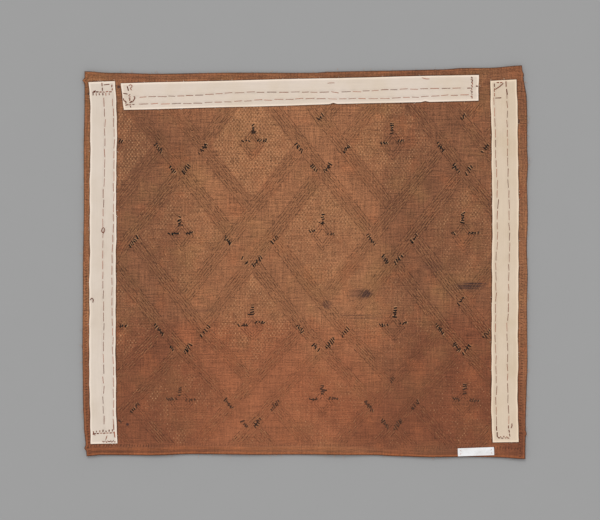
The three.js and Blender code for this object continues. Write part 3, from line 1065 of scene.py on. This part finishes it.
def field_dots(shift, seed):
    """Middles of one kind of stitch, a share of the pitch along from the pale ones."""
    draw = np.random.default_rng(seed)
    low, high = (np.array(corner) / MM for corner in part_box("cloth"))
    rows = np.arange(low[1], high[1], FIELD_ROW)
    x, y = np.meshgrid(np.arange(low[0], high[0], FIELD_PITCH), rows)
    x = x + ((np.arange(len(rows)) % 2)[:, None] / 2 + shift) * FIELD_PITCH
    spots = np.stack([x.ravel(), y.ravel()], axis=-1)
    spots = spots + draw.normal(0, 0.22, spots.shape)
    room = off_diamond(spots)
    open_space = (room < 1 - BAND_OUTER - 0.03) & (room > DIAMOND_ROOM)
    kept = open_space & in_field(spots) & (draw.random(len(spots)) > 0.06)
    return spots[kept], draw


for order, kind in enumerate(DOT_KINDS):
    spots, draw = field_dots(kind["shift"], 31 + order)
    upright = np.stack([draw.normal(0, 0.12, len(spots)), np.ones(len(spots))], axis=-1)
    reach = upright * (kind["length"] / 2 * draw.uniform(0.8, 1.15, len(spots)))[:, None]
    worn = wear(spots, "field", FIELD_WEAR) + draw.normal(0, 0.24, len(spots))
    sizes = stitch_sizes(kind, len(spots), draw)
    sew(panel, kind["name"], spots - reach, spots + reach, sizes, worn, kind["finish"])

# %% [markdown]
# ## Small diamonds
# In the middle of each space sits a small diamond of three nested lines of dark stitches. A loop walks each
# line's four sides and sets stitches along it.

# %% Diamonds
DIAMOND_LINES = (0.085, 0.125, 0.165)
DIAMOND_TIPS = ((1, 0), (0, 1), (-1, 0), (0, -1))
DIAMOND_STITCH = {"pitch": 5.4, "length": 5.0, "width": (0.95, 0.75, 1.15), "rise": (0.26, 0.7, 1.1)}
UPPER_FRESH = 0.30


def diamond_lines(draw):
    """Starts and ends of the stitches of all diamonds, and how much fresher each one is."""
    starts, ends, fresh = [], [], []
    for column, row in diamonds:
        for size in DIAMOND_LINES:
            tips = [panel_point(column + size * across, row + size * down) for across, down in DIAMOND_TIPS]
            for tip, after in zip(tips, tips[1:] + tips[:1]):
                upper = min(tip[1], after[1]) > tips[1][1]
                length = np.linalg.norm(after - tip)
                steps = max(2, round(length / DIAMOND_STITCH["pitch"]))
                middles = (np.arange(steps) + 0.5) / steps + draw.normal(0, 0.03, steps)
                half = DIAMOND_STITCH["length"] / 2 / length
                starts.append(tip + (after - tip) * (middles - half)[:, None])
                ends.append(tip + (after - tip) * (middles + half)[:, None])
                fresh.append(np.full(steps, UPPER_FRESH if upper else 0.0))
    starts, ends, fresh = (np.concatenate(parts) for parts in (starts, ends, fresh))
    kept = in_field(starts) & in_field(ends)
    return starts[kept], ends[kept], fresh[kept]


draw = np.random.default_rng(41)
starts, ends, fresh = diamond_lines(draw)
worn = wear(starts, "diamond", 43) - fresh + draw.normal(0, 0.18, len(starts))
sizes = stitch_sizes(DIAMOND_STITCH, len(starts), draw)
sew(panel, "diamond_stitches", starts, ends, sizes, worn, dark_stitch)

# %% [markdown]
# ## Black floats
# On this wrong side the maker carried black raffia from stitch to stitch, so short black floats gather at
# the corners of each crossing and round each small diamond. They come in little combs: a few floats side by
# side, with paler ones between, and often one carried along the comb. One table gives the combs of a
# crossing, another those of a diamond, and chance drops or shifts some.

# %% Combs of a crossing and of a diamond
RISING_WAY = math.radians(52)
FALLING_WAY = math.radians(-52)
UPRIGHT = math.radians(90)
NEAR_LEVEL = math.radians(14)
COMB_HEADING = "column row floats lean stack length bold chance"
CROSSING_COMBS = table(
    COMB_HEADING,
    (-0.33, 0.03, 6, RISING_WAY, FALLING_WAY, 5.6, 1.0, 1.0),
    (0.32, 0.04, 6, FALLING_WAY, RISING_WAY, 5.6, 1.0, 1.0),
    (-0.11, 0.26, 5, RISING_WAY, FALLING_WAY, 5.6, 1.0, 1.0),
    (0.07, 0.27, 6, FALLING_WAY, RISING_WAY, 6.4, 1.0, 1.0),
    (-0.02, -0.30, 4, FALLING_WAY, RISING_WAY, 5.4, 1.0, 0.35),
)
DIAMOND_COMBS = table(
    COMB_HEADING,
    (0.00, -0.190, 5, NEAR_LEVEL, UPRIGHT, 5.6, 1.0, 1.0),
    (0.00, -0.135, 3, NEAR_LEVEL, 0.0, 4.6, 1.0, 0.55),
    (-0.135, -0.04, 4, FALLING_WAY, 0.0, 4.6, 1.2, 1.0),
    (0.135, -0.045, 4, RISING_WAY, 0.0, 4.4, 1.2, 1.0),
)
print("combs:", len(CROSSING_COMBS), "at a crossing and", len(DIAMOND_COMBS), "at a diamond")

# %% Places of the floats
FLOAT_SPREAD = 3.25


def pointing(angle):
    """A step of one millimetre in the given direction."""
    return np.stack([np.cos(angle), np.sin(angle)], axis=-1)


def comb_floats(middles, combs, draw):
    """The floats of all the combs round the given middles, and each comb's heart and reach."""
    floats, spines = [], []
    for column, row in middles:
        for comb in combs:
            present = draw.random() < comb["chance"]
            count = comb["floats"] - int(draw.integers(0, 2))
            heart = panel_point(column + comb["column"], row + comb["row"]) + draw.normal(0, 1.6, 2)
            stack = pointing(comb["stack"])
            if present:
                spines.append((heart, stack * count * FLOAT_SPREAD / 2))
            for number in range(count):
                off = (number - (count - 1) / 2) * FLOAT_SPREAD * comb["bold"] + draw.normal(0, 0.4)
                lean = comb["lean"] + draw.normal(0, 0.28)
                half = comb["length"] / 2 * draw.uniform(0.6, 1.35) * pointing(lean)
                middle = heart + stack * off + draw.normal(0, 0.5, 2)
                if present and draw.random() < 0.94:
                    floats.append((middle - half, middle + half, stack, comb["bold"]))
    return [[np.array(part) for part in zip(*rows)] for rows in (floats, spines)]


draw = np.random.default_rng(57)
crossing_floats, crossing_spines = comb_floats(crossings, CROSSING_COMBS, draw)
diamond_floats, diamond_spines = comb_floats(diamonds, DIAMOND_COMBS, draw)
floats = [np.concatenate(pair) for pair in zip(crossing_floats, diamond_floats)]
kept = in_field(floats[0]) & in_field(floats[1])
print("floats:", kept.sum())

# %% Black floats
BLACK_FLOAT = {"width": (2.15, 0.7, 1.25), "rise": (0.5, 0.8, 1.3)}
FLOAT_SHARES = (0.0, 0.06, 0.30, 0.70, 0.94, 1.0)


def float_wear(spots, draw):
    """How far black floats have faded: more so low down."""
    low_down = smooth(-110, -190, spots[:, 1])
    return wear(spots, "falling", 59) * 0.45 + low_down * 0.55 + draw.normal(-0.05, 0.2, len(spots))


starts, ends, stacks, bold = (part[kept] for part in floats)
worn = float_wear(starts, draw)
widths, heights = stitch_sizes(BLACK_FLOAT, len(starts), draw)
widths = widths * bold
sew(panel, "black_floats", starts, ends, (widths, heights), worn, black_float, FLOAT_SHARES)

# %% Pale floats between the black ones
beside = stacks * FLOAT_SPREAD / 2
worn = worn * 0.6 + draw.uniform(0.25, 0.7, len(starts))
sizes = widths * 0.6, heights * 0.5
sew(panel, "pale_floats", starts + beside, ends + beside, sizes, worn, pale_stitch, FLOAT_SHARES)

# %% Floats carried along a comb
CARRIED_FLOAT = {"width": (2.15, 0.7, 1.2), "rise": (0.5, 1.0, 1.4)}
CARRIED_CHANCE = 0.55

draw = np.random.default_rng(58)
hearts, reaches = (np.concatenate(pair) for pair in zip(crossing_spines, diamond_spines))
hearts = hearts + reaches * draw.uniform(-0.4, 0.4, (len(hearts), 1))
reaches = reaches * draw.uniform(0.3, 0.75, (len(hearts), 1)) + draw.normal(0, 0.6, reaches.shape)
starts, ends = hearts - reaches, hearts + reaches
kept = in_field(starts) & in_field(ends) & (draw.random(len(hearts)) < CARRIED_CHANCE)
starts, ends = starts[kept], ends[kept]
worn = float_wear(starts, draw)
sizes = stitch_sizes(CARRIED_FLOAT, len(starts), draw)
sew(panel, "carried_floats", starts, ends, sizes, worn, black_float, FLOAT_SHARES)

# %% [markdown]
# ## Hem stitches and loose fibres
# The edge is turned over and whipped down with small slanting stitches along the hem's inner line. Some leaf
# fibres have worked loose along the fold and stick out a little way.

# %% Hem whipping
HEM_STITCH = {"pitch": 4.1, "length": 3.9, "width": (1.0, 0.8, 1.2), "rise": (0.28, 0.8, 1.2)}
HEM_SLANT = math.radians(16)
HEM_SIDES = {"bottom": 1, "right": 1, "top": -1, "left": -1}


def hem_whips(draw):
    """Slanting stitches across the hem's inner line on all four sides."""
    starts, ends = [], []
    for (side, turn), line in zip(HEM_SIDES.items(), four_sides(rim("cloth"))):
        length = np.linalg.norm(np.diff(line, axis=0), axis=1).sum()
        pitch = HEM_STITCH["pitch"]
        shares = np.arange(pitch, length - pitch, pitch) / length
        shares = shares + draw.normal(0, 0.12, len(shares)) * pitch / length
        onward = along(line, shares + 0.004) - along(line, shares - 0.004)
        onward /= np.linalg.norm(onward, axis=1, keepdims=True)
        across = turn * np.stack([-onward[:, 1], onward[:, 0]], axis=-1)
        middles = along(line, shares) + across * HEM_WIDTHS[side]
        slant = HEM_SLANT + draw.normal(0, 0.2, len(shares))
        reach = across * np.cos(slant)[:, None] + onward * np.sin(slant)[:, None]
        half = HEM_STITCH["length"] / 2 * draw.uniform(0.7, 1.2, len(shares))
        starts.append(middles - reach * half[:, None])
        ends.append(middles + reach * half[:, None])
    return np.concatenate(starts), np.concatenate(ends)


draw = np.random.default_rng(61)
starts, ends = hem_whips(draw)
near_corner = smooth(190, 245, np.abs(starts[:, 0])) * (starts[:, 1] < 0)
worn = draw.normal(0.85, 0.15, len(starts)) - near_corner * 0.75
sizes = stitch_sizes(HEM_STITCH, len(starts), draw)
sew(panel, "hem_stitches", starts, ends, sizes, worn, dark_stitch, FLOAT_SHARES)

# %% Loose fibres
FIBRE_COUNT = 150
FIBRE_LENGTH = 5.5
FIBRE_WIDTH = 0.32
FIBRE_POINTS = 7
FIBRE_LOWEST = 0.25


def loose_fibres(outline, count, length, draw):
    """Thin curved fibres that leave an outline and bend along it."""
    closed = np.concatenate([outline, outline[:1]])
    shares = draw.random(count)
    onward = along(closed, (shares + 0.002) % 1) - along(closed, (shares - 0.002) % 1)
    heading = np.arctan2(onward[:, 1], onward[:, 0]) - math.pi / 2 + draw.normal(0, 0.8, count)
    bend = draw.normal(0, 0.9, count)
    lengths = length * draw.uniform(0.35, 1.3, count)
    paths = np.zeros((count, FIBRE_POINTS, 2))
    paths[:, 0] = along(closed, shares)
    for step in range(1, FIBRE_POINTS):
        move = pointing(heading + bend * step / FIBRE_POINTS) * (lengths / FIBRE_POINTS)[:, None]
        paths[:, step] = paths[:, step - 1] + move
    return paths


def lifted(paths, roots, low, high, draw):
    """Paths that start at the given heights and rise or sag by chance towards their tips."""
    tips = np.linspace(0, 1, FIBRE_POINTS)[None] * draw.uniform(low, high, (len(paths), 1))
    return np.dstack([paths, np.maximum(FIBRE_LOWEST, roots + tips)])


def fibre_sizes(width, count):
    return np.full(count, width), np.full(count, width / 2)


draw = np.random.default_rng(71)
paths = loose_fibres(rim("cloth"), FIBRE_COUNT, FIBRE_LENGTH, draw)
paths = lifted(paths, lie(paths[:, :1]) + RIM_LIFT + HEM_THICK / 2, -0.7, 0.6, draw)
marks = {"worn": draw.uniform(0, 0.6, FIBRE_COUNT)}
add_bars(panel, "hem_fibres", paths, fibre_sizes(FIBRE_WIDTH, FIBRE_COUNT), pale_stitch, marks, 3)

# %% [markdown]
# ## Hanging tapes
# Three lengths of cotton tape are sewn along the upper, left and right sides. Each is a closed grid over its
# solid's plan, laid on the cloth by ray casts, with its rim rounded and a shallow trough along each line
# of sewing, where the thread pulls the tape down.

# %% Cotton finish
TAPE_RIB = 0.85


def cotton_finish(name, fresh, yellow, axis):
    """Woven cotton tape, with a painted highlight along its rim and painted shade in its seam troughs; its
    length follows the given axis.
    """
    material, paint, shader, place = start_finish(name, shine=0.12, sheen=0.08)
    x, y = place.part("X"), place.part("Y")
    lengths, crosswise = (x, y) if axis == 0 else (y, x)
    ageing = place.noise(0.016, 3.0, 0.6)
    specks = place.noise(0.9, 2.0).rise(0.68, 0.80)
    streak = place.stretch((0.02, 0.9, 0.0) if axis == 0 else (0.9, 0.02, 0.0)).noise(1.0, 2.0)
    colour = paint.blend(ageing.rise(0.35, 0.75), colour_of(*fresh), colour_of(*yellow))
    # Painted highlight: the tape is lighter along its rim, where the edge mark is high.
    tone = 0.92 + streak * 0.12 + paint.mark("edge") * 0.26 - paint.mark("sewn") * 0.07 - specks * 0.07
    # Painted shade: the tape is darker along each seam's trough, where the sewn mark is high.
    colour = paint.shade(colour, tone)
    turn = 2 * math.pi / TAPE_RIB
    rib = (lengths * turn).sine() * 0.5 + (crosswise * turn + lengths * turn * 0.5).sine() * 0.5
    lay_finish(paint, shader, colour, 0.80 + streak * 0.15, rib + streak * 2, depth=0.12, strength=0.45)
    return material


TAPES = {
    "tape_top": {
        "axis": 0, "seams": (0.205, 0.49), "seam_worn": (0.45, 0.35), "flat": (0.038, 0.516),
        "finish": cotton_finish("upper_tape_cotton", (231, 215, 200), (226, 208, 188), 0),
    },
    "tape_left": {
        "axis": 1, "seams": (0.52, 0.88), "seam_worn": (0.35, 0.60), "flat": (0.038, 0.524),
        "finish": cotton_finish("left_tape_cotton", (229, 214, 199), (223, 207, 190), 1),
    },
    "tape_right": {
        "axis": 1, "seams": (0.16, 0.63), "seam_worn": (0.50, 0.30), "flat": (0.038, 0.525),
        "finish": cotton_finish("right_tape_cotton", (226, 206, 183), (219, 198, 172), 1),
    },
}
print("tape finishes:", [tape["finish"].name for tape in TAPES.values()])

# %% Plan of a tape
TAPE_CELL = {"long": 2.2, "cross": 1.5}
TAPE_RIM = (0.15, 0.25, 0.4, 0.6)
TAPE_WOBBLE = 0.60


def tape_plan(node, axis):
    """The plan of a tape, the distances along it and the shares across it."""
    cells = [TAPE_CELL["cross"], TAPE_CELL["cross"]]
    cells[axis] = TAPE_CELL["long"]
    shares = [stations(length, cell, TAPE_RIM) for length, cell in zip(flat_size(node), cells)]
    plan = plan_grid(node, *shares)
    sway = [waves(plan, seed, (27.0, 53.0, 97.0)) for seed in (83, 84)]
    plan = plan + TAPE_WOBBLE * np.stack(sway, axis=-1)
    return plan, shares[axis] * flat_size(node)[axis], shares[1 - axis]


print("points on the upper tape's plan:", tape_plan("tape_top", 0)[0].shape[:2])

# %% Tapes
TAPE_THICK = 0.85
TAPE_FOLD = 0.6
TAPE_REST = 0.06
TAPE_EDGE_LIFT = 0.55
TAPE_EDGE_REACH = 3.5
TAPE_SWELL = 0.22
TROUGH_DEPTH = 0.34
TROUGH_WIDTH = 2.0
SEAM_PITCH = 15.8


def lay_tape(node, tape):
    """Makes the piece of a tape, and adds to the tape what its sewing needs to know."""
    axis = tape["axis"]
    plan, lengths, shares = tape_plan(node, axis)
    onward, cross = (lengths[:, None], shares[None]) if axis == 0 else (lengths[None], shares[:, None])
    width = np.ptp(plan[..., 1 - axis], axis=1 - axis).mean()
    edge = from_rim(plan)
    uneven = 0.65 + 0.35 * waves(plan, 82, (21.0, 43.0, 77.0))
    lift = TAPE_EDGE_LIFT * uneven * np.exp(-edge / TAPE_EDGE_REACH)
    resting = drop(cloth_surface, plan)[..., 2] + TAPE_REST + lift
    trough = np.zeros(edge.shape)
    for line in tape["seams"]:
        pull = 0.65 + 0.35 * np.cos(2 * math.pi * onward / SEAM_PITCH + line * 9)
        trough = np.maximum(trough, pull * np.exp(-((cross - line) * width / TROUGH_WIDTH) ** 2))
    swell = TAPE_SWELL * waves(plan, 81, (13.0, 21.0, 37.0, 61.0))
    # A band along the tape's rim, a little raised, that carries a painted highlight.
    rim_band = np.exp(-((edge - 1.0) / 1.3) ** 2)
    puff = (TAPE_SWELL + swell + 0.10 * rim_band - TROUGH_DEPTH * trough) * smooth(0, 4, edge)
    round_share = rounded_rim(edge, TAPE_FOLD)
    corners, faces, inner, surface = closed_sheet(plan, resting, TAPE_THICK, round_share, puff)
    # The edge mark feeds the painted highlight along the rim, and the sewn mark the painted shade in the
    # troughs.
    marks = {"edge": rim_band, "sewn": trough}
    marks = {name: np.concatenate([values.ravel(), values[inner]]) for name, values in marks.items()}
    piece = make_piece("cotton_" + node, corners, faces, tape["finish"], marks)
    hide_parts(node)
    tape.update(piece=piece, surface=surface, slot="cotton_tape", sewn=[], lengths=lengths, shares=shares)
    tape["plan"] = plan if axis == 0 else plan.transpose(1, 0, 2)


for node, tape in TAPES.items():
    lay_tape(node, tape)

# %% [markdown]
# ## Sewing on the tapes
# Each tape is held by two lines of long running stitches in a brown thread, and tacked at both ends with
# short rows that no two ends share. The rows are a table: where each starts and stops on its tape, how many
# stitches it has, and how long the short legs are that cross it as in whipping.

# %% Places on a tape
def on_tape(tape, onward, cross):
    """Points at distances along a tape, in millimetres, and shares of its width."""
    plan, lengths, shares = tape["plan"], tape["lengths"], tape["shares"]
    column = np.clip(np.searchsorted(lengths, onward) - 1, 0, len(lengths) - 2)
    row = np.clip(np.searchsorted(shares, cross) - 1, 0, len(shares) - 2)
    u = ((onward - lengths[column]) / (lengths[column + 1] - lengths[column]))[..., None]
    v = ((cross - shares[row]) / (shares[row + 1] - shares[row]))[..., None]
    near = plan[column, row] * (1 - u) + plan[column + 1, row] * u
    far = plan[column, row + 1] * (1 - u) + plan[column + 1, row + 1] * u
    return near * (1 - v) + far * v


print("a place on the upper tape:", on_tape(TAPES["tape_top"], np.array(250.0), np.array(0.5)).round(1))

# %% Running stitches
SEAM_STITCH = (10.5, 14.5)
SEAM_GAP = (1.4, 3.4)
SEAM_ENDS = 25.0
SEAM_SWAY = 0.030
SEAM_WAVE = 47.0
SEAM_THREAD = {"width": (0.86, 0.8, 1.15), "rise": (0.34, 0.8, 1.15)}
SEAM_SHARES = (0.0, 0.06, 0.22, 0.5, 0.78, 0.94, 1.0)


def running_line(tape, line, seed):
    """Distances along a tape at which the stitches of one line start and stop, and their sway."""
    draw = np.random.default_rng(seed)
    starts, stops = [], []
    place = SEAM_ENDS * draw.uniform(0.8, 1.1)
    while place < tape["lengths"][-1] - SEAM_ENDS:
        starts.append(place)
        stops.append(place + draw.uniform(*SEAM_STITCH))
        place = stops[-1] + draw.uniform(*SEAM_GAP)
    sway = line + SEAM_SWAY * np.sin(np.array(starts) / SEAM_WAVE + seed) + draw.normal(0, 0.006, len(starts))
    return np.array(starts), np.array(stops), sway, draw


for order, (node, tape) in enumerate(TAPES.items()):
    for number, line in enumerate(tape["seams"]):
        starts, stops, sway, draw = running_line(tape, line, 91 + 2 * order + number)
        first = on_tape(tape, starts, sway)
        last = on_tape(tape, stops, sway + draw.normal(0, 0.014, len(sway)))
        worn = draw.normal(tape["seam_worn"][number], 0.22, len(first))
        sizes = stitch_sizes(SEAM_THREAD, len(first), draw)
        sew(tape, f"{node}_running_{number + 1}", first, last, sizes, worn, sewing_thread, SEAM_SHARES)

# %% Rows of tacks
TACK_ROWS = table(
    "tape end start stop stitches legs",
    ("tape_left", "high", (1.5, 0.50), (14.5, 0.50), 2, 0),
    ("tape_left", "high", (4.6, 0.53), (4.2, 0.86), 1, 0),
    ("tape_left", "high", (14.6, 0.13), (15.2, 0.87), 6, 6),
    ("tape_left", "high", (4.6, 0.88), (14.0, 0.88), 2, 0),
    ("tape_left", "low", (2.4, 0.46), (2.6, 0.95), 5, 2),
    ("tape_left", "low", (14.2, 0.10), (15.4, 0.95), 7, 5),
    ("tape_left", "low", (14.6, 0.06), (11.5, 0.22), 1, 0),
    ("tape_left", "low", (11.5, 0.64), (4.6, 0.57), 1, 0),
    ("tape_left", "low", (28.0, 0.88), (7.0, 0.92), 2, 0),
    ("tape_top", "low", (9.0, 0.92), (9.6, 0.66), 1, 0),
    ("tape_top", "low", (1.0, 0.62), (8.8, 0.57), 1, 0),
    ("tape_top", "low", (9.6, 0.56), (10.6, 0.22), 4, 2),
    ("tape_top", "low", (3.0, 0.18), (17.0, 0.19), 3, 0),
    ("tape_top", "low", (10.0, 0.15), (10.4, 0.07), 1, 0),
    ("tape_top", "high", (9.6, 0.94), (9.2, 0.07), 8, 2),
    ("tape_top", "high", (0.3, 0.56), (5.2, 0.58), 1, 0),
    ("tape_top", "high", (11.0, 0.50), (18.0, 0.49), 1, 0),
    ("tape_right", "high", (3.0, 0.24), (3.4, 0.48), 2, 0),
    ("tape_right", "high", (4.0, 0.14), (24.0, 0.14), 3, 0),
    ("tape_right", "high", (25.4, 0.15), (26.0, 0.46), 1, 0),
    ("tape_right", "high", (0.8, 0.60), (24.0, 0.62), 2, 0),
    ("tape_right", "low", (6.5, 0.20), (6.2, 0.66), 4, 3),
    ("tape_right", "low", (8.0, 0.19), (25.0, 0.17), 2, 0),
    ("tape_right", "low", (8.0, 0.66), (25.0, 0.64), 3, 0),
)
print("rows of tacks:", len(TACK_ROWS))

# %% End tacks
TACK_THREAD = {"width": (1.5, 0.75, 1.25), "rise": (0.34, 0.9, 1.3)}
TACK_TRIM = (0.04, -0.14)
TACK_SHARES = (0.0, 0.12, 0.5, 0.88, 1.0)


def tack_stitches(tape, row, draw):
    """Starts and ends, on the tape, of one row of tacking and of its legs."""
    start, stop = np.array([row["start"], row["stop"]], float)
    joins = np.linspace(0, 1, row["stitches"] + 1)[:, None]
    starts, stops = (start + (stop - start) * (joins + trim / row["stitches"]) for trim in TACK_TRIM)
    starts, stops = starts[:-1], stops[1:]
    if row["legs"]:
        legs = starts + [row["legs"] * 0.3, 0.0]
        feet = starts + [row["legs"], 0.0] * draw.uniform(0.8, 1.1, (len(starts), 1))
        starts, stops = np.concatenate([starts, legs]), np.concatenate([stops, feet])
    if row["end"] == "high":
        starts[:, 0] = tape["lengths"][-1] - starts[:, 0]
        stops[:, 0] = tape["lengths"][-1] - stops[:, 0]
    return [on_tape(tape, *spots.T) + draw.normal(0, 0.25, spots.shape) for spots in (starts, stops)]


draw = np.random.default_rng(101)
for node, tape in TAPES.items():
    rows = [tack_stitches(tape, row, draw) for row in TACK_ROWS if row["tape"] == node]
    starts, stops = (np.concatenate(ends) for ends in zip(*rows))
    worn = draw.normal(0.22, 0.22, len(starts))
    sizes = stitch_sizes(TACK_THREAD, len(starts), draw)
    sew(tape, f"{node}_tacks", starts, stops, sizes, worn, sewing_thread, TACK_SHARES)

# %% [markdown]
# ## Thread ends
# Here and there a thread was knotted off and left with a curl or a short end. Each one is a smooth curve
# through a few points, laid on its tape and lifted a little in the middle.

# %% Points of the ends
THREAD_ENDS = table(
    "tape width worn points",
    ("tape_left", 1.0, 0.2, [(304, 0.50), (309, 0.56), (313, 0.50), (308, 0.44), (305, 0.53)]),
    ("tape_left", 1.1, 0.0, [(208, 0.02), (211, 0.09), (209, 0.15), (204, 0.13)]),
    ("tape_left", 1.3, 0.0, [(508, 0.11), (511, 0.19), (511.5, 0.26)]),
    ("tape_top", 0.9, 0.5, [(11, 0.90), (14, 0.94), (16, 0.88), (13, 0.80), (15, 0.72)]),
    ("tape_top", 1.3, 0.1, [(1.2, 0.44), (2.0, 0.34), (4.6, 0.30), (4.0, 0.22)]),
    ("tape_top", 1.2, 0.1, [(11, 0.26), (15, 0.32), (18, 0.44), (16.5, 0.50)]),
    ("tape_top", 0.5, 0.6, [(298, 0.80), (303, 0.805), (309, 0.80)]),
    ("tape_top", 0.7, 0.9, [(436, 0.94), (441, 0.89), (447, 0.88)]),
    ("tape_right", 1.1, 0.2, [(522, 0.50), (519, 0.42), (515.5, 0.28), (513, 0.15)]),
    ("tape_right", 1.1, 0.1, [(20, 0.72), (23, 0.76), (27, 0.77)]),
)
print("thread ends:", len(THREAD_ENDS))

# %% Curls and ends
END_POINTS = 15
END_REST = 0.2
END_LIFT = 0.35


def smooth_curve(points, count):
    """A curve through the points, as a chain of Catmull-Rom spans."""
    points = np.asarray(points, float)
    padded = np.concatenate([[2 * points[0] - points[1]], points, [2 * points[-1] - points[-2]]])
    places = np.linspace(0, len(points) - 1 - 1e-6, count)
    span = places.astype(int)
    t = (places - span)[:, None]
    before, start, stop, after = (padded[span + shift] for shift in range(4))
    cubic = 3 * start - before - 3 * stop + after
    square = 2 * before - 5 * start + 4 * stop - after
    return 0.5 * (2 * start + (stop - before) * t + square * t ** 2 + cubic * t ** 3)


for node, tape in TAPES.items():
    rows = [row for row in THREAD_ENDS if row["tape"] == node]
    routes = np.array([smooth_curve(row["points"], END_POINTS) for row in rows])
    paths = drop(tape["surface"], on_tape(tape, routes[..., 0], routes[..., 1]))
    paths[..., 2] += END_REST + END_LIFT * np.sin(np.linspace(0, math.pi, END_POINTS))
    widths = np.array([row["width"] for row in rows])
    marks = {"worn": [row["worn"] for row in rows]}
    add_bars(tape, f"{node}_thread_ends", paths, (widths, widths * 0.4), sewing_thread, marks, 6)

# %% Frayed cotton at the cut ends
FRAY_COUNT = 46
FRAY_LENGTH = 3.4
FRAY_WIDTH = 0.36

for order, (node, tape) in enumerate(TAPES.items()):
    draw = np.random.default_rng(111 + order)
    paths = loose_fibres(rim(node), FRAY_COUNT, FRAY_LENGTH, draw)
    roots = drop(cloth_surface, paths[:, 0])[:, 2:] + TAPE_THICK * 0.5
    paths = lifted(paths, roots, -0.2, 0.5, draw)
    # The frayed fibres take the tape's full painted rim highlight and no painted seam shade.
    marks = {"edge": np.ones(FRAY_COUNT), "sewn": np.zeros(FRAY_COUNT)}
    add_bars(tape, f"{node}_fray", paths, fibre_sizes(FRAY_WIDTH, FRAY_COUNT), tape["finish"], marks, 3)

print("threads and fibres on the tapes:", [len(tape["sewn"]) for tape in TAPES.values()])

# %% [markdown]
# ## The label
# A short cut of narrow white tape is sewn to the lower hem with a stitch at each corner. It stays bare.

# %% Label
LABEL_THICK = 0.55
LABEL_CELL = 1.1
LABEL_RIM = (0.1, 0.2, 0.3)
LABEL_FOLD = 0.4
LABEL_CURL = 0.25
LABEL_SWELL = 0.12
LABEL_RIB = 9.0


def label_finish():
    material, paint, shader, place = start_finish("white_label_cotton", shine=0.15)
    soil = place.noise(0.12, 3.0)
    weave = (place.part("X") * LABEL_RIB).sine() * (place.part("Y") * LABEL_RIB).sine()
    colour = paint.blend(soil.rise(0.4, 0.8), colour_of(244, 244, 245), colour_of(228, 226, 225))
    lay_finish(paint, shader, colour, 0.7 + soil * 0.2, weave + soil * 2, depth=0.08, strength=0.4)
    return material


label_plan = plan_grid("label", *(stations(size, LABEL_CELL, LABEL_RIM) for size in flat_size("label")))
label_sides = from_sides(label_plan)
curl = LABEL_CURL * smooth(9, 0, np.minimum(label_sides["left"], label_sides["right"]))
resting = drop(cloth_surface, label_plan)[..., 2] + TAPE_REST + curl
round_share = rounded_rim(from_rim(label_plan), LABEL_FOLD)
swell = LABEL_SWELL * (1 + waves(label_plan, 121, (11.0, 23.0)))
corners, faces, inner, label_surface = closed_sheet(label_plan, resting, LABEL_THICK, round_share, swell)
label = make_piece("cotton_label", corners, faces, label_finish())
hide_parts("label")

# %% Label stitches
LABEL_STITCH = {"length": 3.2, "width": 0.45, "rise": 0.22, "worn": 0.95}
LABEL_INSET = 6

draw = np.random.default_rng(131)
near, far = LABEL_INSET, -1 - LABEL_INSET
spots = label_plan[[near, far, far, near], [near, near, far, far]]
leans = draw.uniform(0.4, 1.2, len(spots)) * np.array([1, -1, 1, -1])
reach = pointing(leans) * LABEL_STITCH["length"] / 2
sizes = [np.full(len(spots), LABEL_STITCH[name]) for name in ("width", "rise")]
worn = np.full(len(spots), LABEL_STITCH["worn"])
sewn_label = {"surface": label_surface, "slot": "label_cotton", "sewn": []}
sew(sewn_label, "label_stitches", spots - reach, spots + reach, sizes, worn, sewing_thread, TACK_SHARES)

# %% [markdown]
# ## Closing
